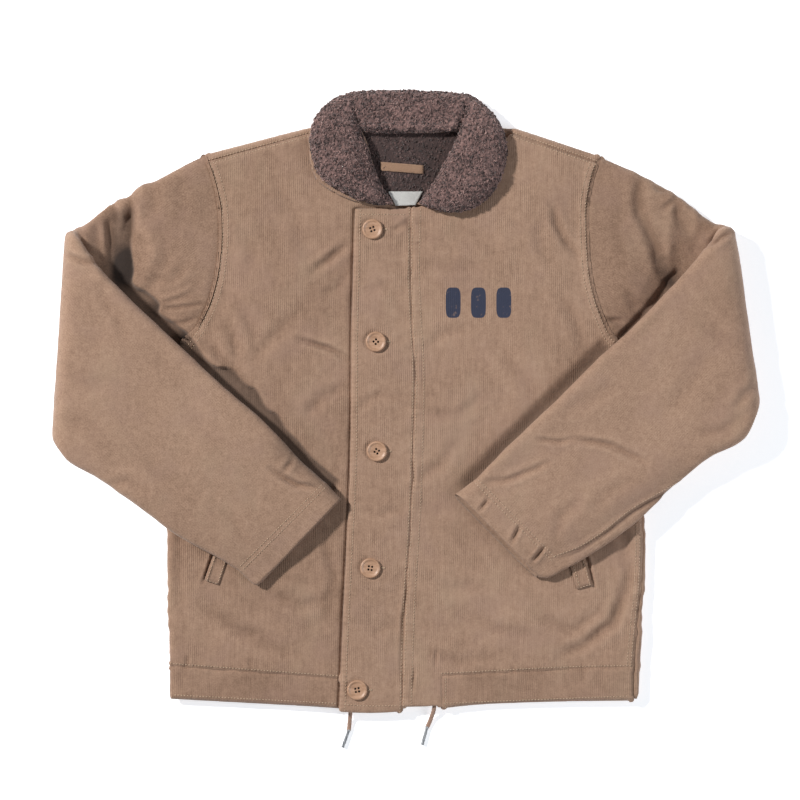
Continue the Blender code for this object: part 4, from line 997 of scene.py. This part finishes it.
def sleeveField(x, y, z, settings):
    upper, seed = z > layers["split"], settings["seed"]
    height = np.where(upper, clothWaves(x, y, seed, 1.15), clothWaves(x, y, seed + 7, 1.1))
    for where, creases in ((upper & (z > layers["high"]), "upper"), (~upper & (z > layers["low"]), "lower")):
        height += np.where(where, 1.6 * creaseHeight(x, y, settings[creases]), 0)
    for bumpX, bumpY, wide, high in settings["bumps"]:
        height += np.where(upper, 0, high * np.exp(-((x - bumpX) ** 2 + (y - bumpY) ** 2) / wide ** 2))
    middle, way = cuffFrame(settings)
    inward = -((x - middle.x) * way.x + (y - middle.y) * way.y)
    turnUp = cuff["turnUp"]
    onCuff = (z > layers["forearm"] - 0.4) & (inward < 70) & (inward > -20)
    hem = 0.7 * (1 - step(inward, turnUp - 2, turnUp + 2)) - 0.4 * np.exp(-((inward - turnUp + 3) / 1.4) ** 2)
    across = (x - middle.x) * way.y - (y - middle.y) * way.x
    pull = ripple(across, inward * 0.4, 9, seed + 20)
    hem += 0.5 * pull * np.exp(-np.abs(inward - turnUp) / 12)
    phase = across * 2 * math.pi / gatherPitch + 2.5 * ripple(across, across * 0, 13, 95)
    hem += 0.28 * np.sin(phase) * np.exp(-((inward - turnUp) / 5) ** 2)
    return height + np.where(onCuff, hem, 0)


sharp = 62  # degrees, where the wall of a sleeve ends


def dressSleeve(node, settings):
    bm = nodeShape(node)
    largestSkin(bm, sharp)
    bmesh.ops.holes_fill(bm, edges=bm.edges, sides=0)
    bmesh.ops.recalc_face_normals(bm, faces=bm.faces)
    creaseEdges(bm, sharp)
    mesh = remeshed(node, bm, 2, settings["voxel"], 4)
    co, normal = points(mesh), points(mesh, "normal")
    x, y, z = (co / mm).T
    armhole = armholeRight if settings["outward"] < 0 else armholeLeft
    near = np.abs(toLine(x, y, armhole)[0])
    upperArm = z < layers["split"]
    away = np.where(upperArm, step(near, 1.5, 9), 1.0)  # stays put at the armhole
    field = sleeveField(x, y, z, settings) * away * np.where(z < layers["under"], 0.15, 1.0)
    co += normal * (field * mm)[:, None]
    lowTop = upperArm & (z > layers["low"])
    seamDip = seamValley(x, y) + settings["dip"] * (1 - step(near, 0, 12))
    fallen = co[:, 2] - (fallDepth(x, y, node)[0] + seamDip) * step(normal[:, 2], 0.1, 0.5) * mm
    co[:, 2] = np.where(lowTop, np.maximum(fallen, np.minimum(co[:, 2], layers["lowest"] * mm)), co[:, 2])
    share = np.where(upperArm, 0, (z - layers["forearm"]) / layers["thick"])
    for start, end, wide, rise in settings["edges"]:  # forearm edges that stand up or lie flat
        distance = toLine(x, y, [start, end])[0]
        co[:, 2] += share * rise * np.exp(-(distance / wide) ** 2) * mm
    closed = co.copy()
    closeSeams(closed, normal, [armhole, *underarms])
    co = np.where(upperArm[:, None], closed, co)
    co[:, 2] = np.maximum(co[:, 2], 0.0002)
    movePoints(mesh, co)
    middle, way = cuffFrame(settings)
    bm = bmesh.new()
    bm.from_mesh(mesh)
    openCuff(bm, settings, middle, way)
    openArmhole(bm, settings["outward"], armhole)
    bm.to_mesh(mesh)
    bm.free()
    co = points(mesh)
    x, y, z = (co / mm).T
    paint(mesh, "grain", sleeveGrain(x, y, z, settings) + 1.0 * ripple(x, y, 55, 15))
    upperArm = z < layers["split"]
    # creases painted darker and ridges lighter, and the upper arm painted darker overall: painted shade and
    # light
    relief = np.where(upperArm, creaseHeight(x, y, settings["lower"]), creaseHeight(x, y, settings["upper"]))
    paint(mesh, "relief", np.clip(0.6 * relief, -1.4, 1.0) + np.where(upperArm, -1.1, -0.15))
    # painted shade in the pits and trench of the upper arm, and in bands along forearm edges and folds that
    # turn from the light
    deep = np.where(upperArm & (z > 3), fallDepth(x, y, node)[1], 0)
    for line, wide, dark in settings["shadeBands"]:
        near, along, length = toLine(x, y, line)
        deep += np.where(upperArm, 0, dark * np.exp(-(near / wide) ** 2) * step(along, 0, 30))
    paint(mesh, "deep", deep)
    return addPiece(node + "_cloth", mesh, "sleeveShell", node)


# "turnUp" is where the hem of a cuff ends, "rows" its stitches; each of the rings of the rolled edge gives the
# way out of the mouth, the way towards the middle and how much narrower it gets
cuff = {
    "height": 15.0, "trim": 1.2, "turnUp": 26, "rows": (23.5, 28.5),
    "rings": [(0.5, 0.75, 0), (-0.9, 1.3, 0), (-4, 2.2, 0.015), (-24, 2.6, 0.09)],
}


def openCuff(bm, settings, middle, way):
    # the mouth of the cuff, with a rolled edge and the turned-in facing
    tilt = settings["underLap"] / cuff["height"]
    normal = (way + Vector((0, 0, tilt))).normalized()
    plane = (middle - way * cuff["trim"]) * mm + Vector((0, 0, (layers["forearm"] + cuff["height"]) * mm))
    geometry = set()
    for face in bm.faces:
        place = face.calc_center_median() / mm
        if (place - middle).dot(way) > -40 and place.z > 18:
            geometry.update([face, *face.verts, *face.edges])
    bmesh.ops.bisect_plane(bm, geom=list(geometry), plane_co=plane, plane_no=normal, clear_outer=True)
    rim = [edge for edge in bm.edges if edge.is_boundary]
    centre = middle * mm + Vector((0, 0, (layers["forearm"] + cuff["height"] / 2) * mm))
    side = Vector((-way.y, way.x, 0))
    for outward, pinch, narrow in cuff["rings"]:
        grown = bmesh.ops.extrude_edge_only(bm, edges=rim)["geom"]
        rim = [item for item in grown if isinstance(item, bmesh.types.BMEdge)]
        for vertex in {v for edge in rim for v in edge.verts}:
            toMiddle = centre.z - vertex.co.z
            vertex.co.z += math.copysign(min(abs(toMiddle), pinch * mm), toMiddle)
            vertex.co += way * outward * mm - side * (vertex.co - centre).dot(side) * narrow


def openArmhole(bm, outward, armhole):
    # the end inside the armhole seam stays open, as cut
    ends = []
    for face in bm.faces:
        place = face.calc_center_median() / mm
        away = min(math.hypot(place.x - x, place.y - y) for x, y in armhole)
        if face.normal.x * outward < -0.8 and away < 26:
            ends.append(face)
    bmesh.ops.delete(bm, geom=ends, context="FACES")


for node, settings in sleeves.items():
    dressed[node] = dressSleeve(node, settings)
    print(node, len(dressed[node].data.polygons), "faces")
stage("sleeves")


# collar, neck lining, loop, label

# the mesh, then its tufts: they start at the slope "facing", and "sides" adds more of them on steep parts
pilePieces = {
    "collar": {
        "voxel": 1.7, "lumps": 1.0, "finish": "collarPile",
        "curls": "collar_curls", "count": 3600, "seed": 7, "radius": 1.25, "thick": 0.62,
        "facing": (-0.35, 0.3), "sides": 1.2,
    },
    "neck_lining": {
        "voxel": 1.7, "lumps": 0.7, "finish": "liningPile",
        "curls": "lining_curls", "count": 500, "seed": 17, "radius": 1.2, "thick": 0.6,
        "facing": (0.3, 0.8), "sides": 0,
    },
}
collarCreases = [
    ([(-66, 352), (-61, 345), (-56, 325), (-50, 306), (-42, 290)], 4.0, 2.6),
    ([(76, 348), (70, 341), (64, 322), (57, 304), (48, 288)], 4.0, 2.6),
    ([(-88, 330), (-80, 312), (-84, 292)], 7.0, 0.9),
    ([(98, 322), (90, 300), (92, 282)], 7.0, 0.9),
    ([(-30, 352), (0, 346), (34, 352)], 7.0, 0.8),
]
tuft = {"sides": 5, "bend": 215, "steps": 4, "tip": 0.5, "rise": (-0.1, 0.7), "lean": 0.7, "size": (0.75, 1.3),
        "tone": 0.9}


def dressPile(node, settings):
    bm = nodeShape(node)
    creaseEdges(bm, 75)
    mesh = remeshed(node, bm, 2, settings["voxel"], 3)
    co, normal = points(mesh), points(mesh, "normal")
    x, y, z = (co / mm).T
    height = 0.55 * ripple(x + z, y - z, 4.2, 61) + 0.45 * ripple(x - z, y + z, 2.6, 62)
    height = settings["lumps"] * (height + 0.9 * ripple(x, y, 14, 63) + 0.8 * ripple(x, y, 34, 64))
    free = step(normal[:, 2], -0.5, 0.2)
    folds = np.where(z > 18, creaseHeight(x, y, collarCreases), 0) if node == "collar" else np.zeros(len(co))
    co += normal * (height * free * mm)[:, None]
    co[:, 2] += folds * free * mm
    movePoints(mesh, co)
    # collar creases painted darker and their lips lighter: painted shade and light
    paint(mesh, "tone", np.clip(folds * 0.3, -0.8, 0.2))
    return addPiece(node + "_pile", mesh, settings["finish"], node)


def scatterCurls(mesh, settings):
    # bent tufts of wool, half sunk in the mesh of a pile piece
    random = np.random.default_rng(settings["seed"])
    bm = bmesh.new()
    ring = bmesh.ops.create_circle(bm, segments=tuft["sides"], radius=settings["thick"] * mm,
                                   cap_ends=True)["verts"]
    bmesh.ops.rotate(bm, verts=ring, cent=(0, 0, 0), matrix=Matrix.Rotation(math.pi / 2, 3, "X"))
    bmesh.ops.translate(bm, verts=ring, vec=(settings["radius"] * mm, 0, 0))
    spun = bmesh.ops.spin(bm, geom=bm.verts[:] + bm.edges[:] + bm.faces[:], cent=(0, 0, 0), axis=(0, 0, 1),
                          angle=math.radians(tuft["bend"]), steps=tuft["steps"])
    tip = [item for item in spun["geom_last"] if isinstance(item, bmesh.types.BMVert)]
    tipCentre = sum((v.co for v in tip), Vector()) / len(tip)
    bmesh.ops.scale(bm, vec=(tuft["tip"],) * 3, verts=tip, space=Matrix.Translation(-tipCentre))
    bmesh.ops.recalc_face_normals(bm, faces=bm.faces)
    model = len(bm.verts)
    sizes = np.array([face.area for face in mesh.polygons])
    centres = np.array([face.center[:] for face in mesh.polygons])
    normals = np.array([face.normal[:] for face in mesh.polygons])
    upward, count = normals[:, 2], settings["count"]
    keep = step(upward, *settings["facing"]) * (1 + settings["sides"] * (1 - step(upward, 0.3, 0.8)))
    weight = sizes * keep
    places = []
    for index in random.choice(len(sizes), count, replace=False, p=weight / weight.sum()):
        up = Vector(normals[index])
        turn = up.to_track_quat("Z", "Y").to_matrix().to_4x4()
        spin = Matrix.Rotation(random.uniform(0, 2 * math.pi), 4, "Z")
        lean = Matrix.Rotation(random.uniform(-tuft["lean"], tuft["lean"]), 4, "X")
        place = Matrix.Translation(Vector(centres[index]) + up * random.uniform(*tuft["rise"]) * mm)
        places.append(place @ turn @ spin @ lean @ Matrix.Scale(random.uniform(*tuft["size"]), 4))
    made = manyOf(settings["curls"], bm, places)
    paint(made, "tone", np.repeat(random.uniform(-tuft["tone"], tuft["tone"], count), model))
    return addPiece(settings["curls"], made, settings["finish"])


for node, settings in pilePieces.items():
    dressed[node] = dressPile(node, settings)
curls = {node: [scatterCurls(dressed[node].data, settings)] for node, settings in pilePieces.items()}
stage("pile")


thinEdge = 2.8  # mm, the longest edge that isn't cut


def dressThin(node, finish, slot, cuts, field, lift=0.0, grow=None):
    # small flat pieces keep their own edges; they are cut finer and moved by given waves
    bm = nodeShape(node)
    bmesh.ops.recalc_face_normals(bm, faces=bm.faces)
    bmesh.ops.triangulate(bm, faces=bm.faces)
    for _ in range(cuts):
        long = [edge for edge in bm.edges if edge.calc_length() > thinEdge * mm]
        if long:
            bmesh.ops.subdivide_edges(bm, edges=long, cuts=1, use_grid_fill=True)
    bmesh.ops.triangulate(bm, faces=bm.faces)
    mesh = asMesh(node, bm)
    co = points(mesh)
    x, y = co[:, 0] / mm, co[:, 1] / mm
    if grow:
        normal = points(mesh, "normal")
        co[:, :2] += normal[:, :2] * (grow(x, y) * (1 - step(np.abs(normal[:, 2]), 0.5, 0.9)) * mm)[:, None]
    co[:, 2] += (field(x, y) + lift) * mm
    movePoints(mesh, co)
    paint(mesh, "grain", x)
    paint(mesh, "relief", np.zeros(len(co)) - 0.5)
    paint(mesh, "deep", np.zeros(len(co)))
    return addPiece(node + "_cloth", mesh, finish, node)


def welt(seed, panelSeed):
    # a welt lies on the waves of its panel, 0.5 mm up
    return ("shell", "shell_cloth", 5,
            lambda x, y: bodyField(x, y, panelSeed) + 0.2 * ripple(x, y, 8, seed), 0.5)


thinPieces = {
    "undercollar": ("shell", "shell_cloth", 3, lambda x, y: 0.25 * ripple(x, y, 14, 71), 0,
                    lambda x, y: 3.4 * step(-x, 30, 60) * (1 - step(y, 300, 320))),
    "hanger_loop": ("tape", "shell_cloth", 4,
                    lambda x, y: 1.1 * np.sin((x + 29) / 49 * math.pi) + 0.25 * ripple(x, y, 7, 72)),
    "neck_label": ("label", "label_cloth", 4, lambda x, y: 0.5 + 0.35 * ripple(x, y, 9, 73)),
    "pocket_welt_right": welt(74, panels["front_right"]["seed"]),
    "pocket_welt_left": welt(75, panels["front_left"]["seed"]),
}
for node, settings in thinPieces.items():
    dressed[node] = dressThin(node, *settings)
stage("neck and pockets")


# buttons

button = {
    "profile": [(0.0, 0.1), (8.8, 0.1), (10.6, 0.7), (11.6, 1.9), (11.3, 3.2), (10.5, 3.9), (9.8, 3.9),
                (9.0, 3.4), (8.2, 2.6), (7.4, 2.35), (0.0, 2.3)],
    "steps": 56, "sink": 0.8, "flatten": 0.85, "turn": 0.35, "edge": 0.18,
    "offset": 2.65, "hole": (1.3, 14, 20, 0), "thread": (1.3, 12, 0.7, -0.3),  # radius, sides, depth, height
}


def atHoles(bm, make):
    # an upright cylinder at each of the four holes
    radius, sides, depth, height = make
    for quarter in range(4):
        angle = math.pi / 4 + quarter * math.pi / 2
        place = Vector((math.cos(angle) * button["offset"], math.sin(angle) * button["offset"], height))
        bmesh.ops.create_cone(bm, cap_ends=True, segments=sides, radius1=radius * mm, radius2=radius * mm,
                              depth=depth * mm, matrix=Matrix.Translation(place * mm))


for number, place in enumerate(buttonPlaces, 1):
    node = "button_%d" % number
    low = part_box(node)[0]
    stand = Matrix.Translation(Vector((place[0] * mm, place[1] * mm, low.z)))
    stand = stand @ Matrix.Rotation(button["turn"] * number, 4, "Z")
    bm = bmesh.new()
    rim = [bm.verts.new((r * mm, 0, (z * button["flatten"] - button["sink"]) * mm))
           for r, z in button["profile"]]
    edges = [bm.edges.new(pair) for pair in zip(rim, rim[1:])]
    bmesh.ops.spin(bm, geom=rim + edges, cent=(0, 0, 0), axis=(0, 0, 1), angle=2 * math.pi,
                   steps=button["steps"], use_merge=True)
    bmesh.ops.remove_doubles(bm, verts=bm.verts, dist=0.00001)
    bmesh.ops.recalc_face_normals(bm, faces=bm.faces)
    holes = bmesh.new()
    atHoles(holes, button["hole"])
    cutter = bpy.data.objects.new("holes", asMesh("holes", holes))
    scene.collection.objects.link(cutter)
    soften = {"width": button["edge"] * mm, "segments": 2, "limit_method": "ANGLE", "angle_limit": 0.9}
    mesh = baked(node, bm, [("BOOLEAN", {"operation": "DIFFERENCE", "object": cutter}), ("BEVEL", soften)])
    bpy.data.objects.remove(cutter)
    mesh.transform(stand)
    addPiece(node + "_horn", mesh, "button", node)
    bm = bmesh.new()
    atHoles(bm, button["thread"])  # thread low in the holes, near black as painted shade in the holes
    bmesh.ops.transform(bm, verts=bm.verts, matrix=stand)
    addPiece(node + "_thread", asMesh(node + "_thread", bm), "holeShadeThread")
stage("buttons")


# stitching

class Ground:
    # finds the upper surface of a piece under a point
    def __init__(self, piece):
        bm = bmesh.new()
        bm.from_mesh(piece.data)
        self.tree = BVHTree.FromBMesh(bm)
        bm.free()

    def height(self, x, y):
        hit = self.tree.ray_cast(Vector((x * mm, y * mm, 0.2)), Vector((0, 0, -1)))
        return hit[0].z / mm if hit[0] else None


stitch = {
    "pitch": 3.6, "length": 2.7, "width": 1.15, "thick": 0.8, "raise": 0.3,
    "hold": 0.42, "steepest": 1.5,  # the share of its length where it holds, and the step that it can't take
}


def alongLine(line, pitch):
    done = 0.0
    places = []
    for (ax, ay), (bx, by) in zip(line, line[1:]):
        length = math.hypot(bx - ax, by - ay)
        while done < length:
            t = done / length
            places.append((ax + (bx - ax) * t, ay + (by - ay) * t, (bx - ax) / length, (by - ay) / length))
            done += pitch
        done -= length
    return places


seamRows = [  # piece that is stitched on, line, distances to the right of it
    ("front_right", armholeRight, (-2.0, -7.6)),
    ("front_left", armholeLeft, (2.0, 7.6)),
    ("front_right", shoulderRight, (2.2,)),
    ("front_left", shoulderLeft, (2.2,)),
    ("back", shoulderRight, (-2.2,)),
    ("back", shoulderLeft, (-2.2,)),
    ("fly", flyEdge, (7.0,)),
    ("fly", [(-70, -350), (-45, -351.5), (-12, -351.5)], (-3.5,)),
    ("fly", [(-53, 214.5), (-2, 214.5)], (0.0,)),
    ("fly", flySeam, (-2.0,)),
    ("front_left", flySeam, (2.0, 10.5)),
    ("front_right", channelRight, (-3.0,)),
    ("front_left", channelLeft, (-3.0,)),
    ("hem_channel_left", channelEnd, (4.0,)),
    ("hem_channel_right", [(-268, -335.7), (-80, -345.5)], (0.0,)),
    ("hem_channel_left", [(44, -345.5), (256, -337)], (0.0,)),
    ("front_left", sideLeft, (-2.0, -6.5)),
]
stitchRows = [(target, shifted(roundLine(line), offset))
              for target, line, offsets in seamRows for offset in offsets]
for node, settings in sleeves.items():
    top, low = Vector(settings["cuffTop"]), Vector(settings["cuffLow"])
    way = Vector(settings["cuffWay"]).normalized()
    for inward in cuff["rows"]:
        start = top - way * inward + (low - top) * 0.03
        end = low - way * inward - (low - top) * 0.03
        stitchRows.append((node, [tuple(start), tuple(end)]))
underarmRow = [(170, -176), (198, -165), (226, -147), (259, -121), (310, -92)]
stitchRows.append(("sleeve_left", roundLine(underarmRow)))
welts = {
    "pocket_welt_right": [(-213.4, -161.6), (-227.7, -204.3), (-215.7, -208.3), (-201.4, -165.6)],
    "pocket_welt_left": [(197.6, -166.2), (210.6, -209.3), (199.2, -213.1), (186.2, -170)],
}
for node, corners in welts.items():
    stitchRows += [(node, [start, end]) for start, end in zip(corners, corners[1:])]
grounds = {target: Ground(dressed[target]) for target in {target for target, line in stitchRows}}

stitchPlaces = []
for target, line in stitchRows:
    ground = grounds[target]
    for x, y, dx, dy in alongLine(line, stitch["pitch"]):
        half = stitch["length"] * stitch["hold"]
        first, last = ground.height(x - dx * half, y - dy * half), ground.height(x + dx * half, y + dy * half)
        if first is None or last is None or abs(first - last) > stitch["steepest"]:
            continue
        way = Vector((2 * half * dx, 2 * half * dy, last - first)).normalized()
        turn = way.to_track_quat("X", "Z").to_matrix().to_4x4()
        centre = Vector((x, y, (first + last) / 2 + stitch["raise"]))
        size = Matrix.Diagonal((stitch["length"] / 2, stitch["width"] / 2, stitch["thick"] / 2, 1))
        stitchPlaces.append(Matrix.Translation(centre * mm) @ turn @ size)
buttonhole = {"start": 12.2, "pitch": 0.55, "count": 9, "raise": 0.25, "size": (0.3, 1.5, 0.4)}
for x, y in buttonPlaces:  # the end of each buttonhole, right of its button
    for k in range(buttonhole["count"]):
        dx = buttonhole["start"] + buttonhole["pitch"] * k
        height = grounds["fly"].height(x + dx, y) + buttonhole["raise"]
        where = Matrix.Translation(Vector((x + dx, y + 0.1, height)) * mm)
        stitchPlaces.append(where @ Matrix.Diagonal((*buttonhole["size"], 1)))
bm = bmesh.new()
bmesh.ops.create_icosphere(bm, subdivisions=1, radius=mm)
addPiece("topstitching", manyOf("topstitching", bm, stitchPlaces), "thread")
print("stitches", len(stitchPlaces))
stage("stitching")


# triangles of all that renders

total = 0
for item in scene.objects:
    if item.type == "MESH" and not item.hide_render:
        item.data.calc_loop_triangles()
        total += len(item.data.loop_triangles)
print("triangles", total)
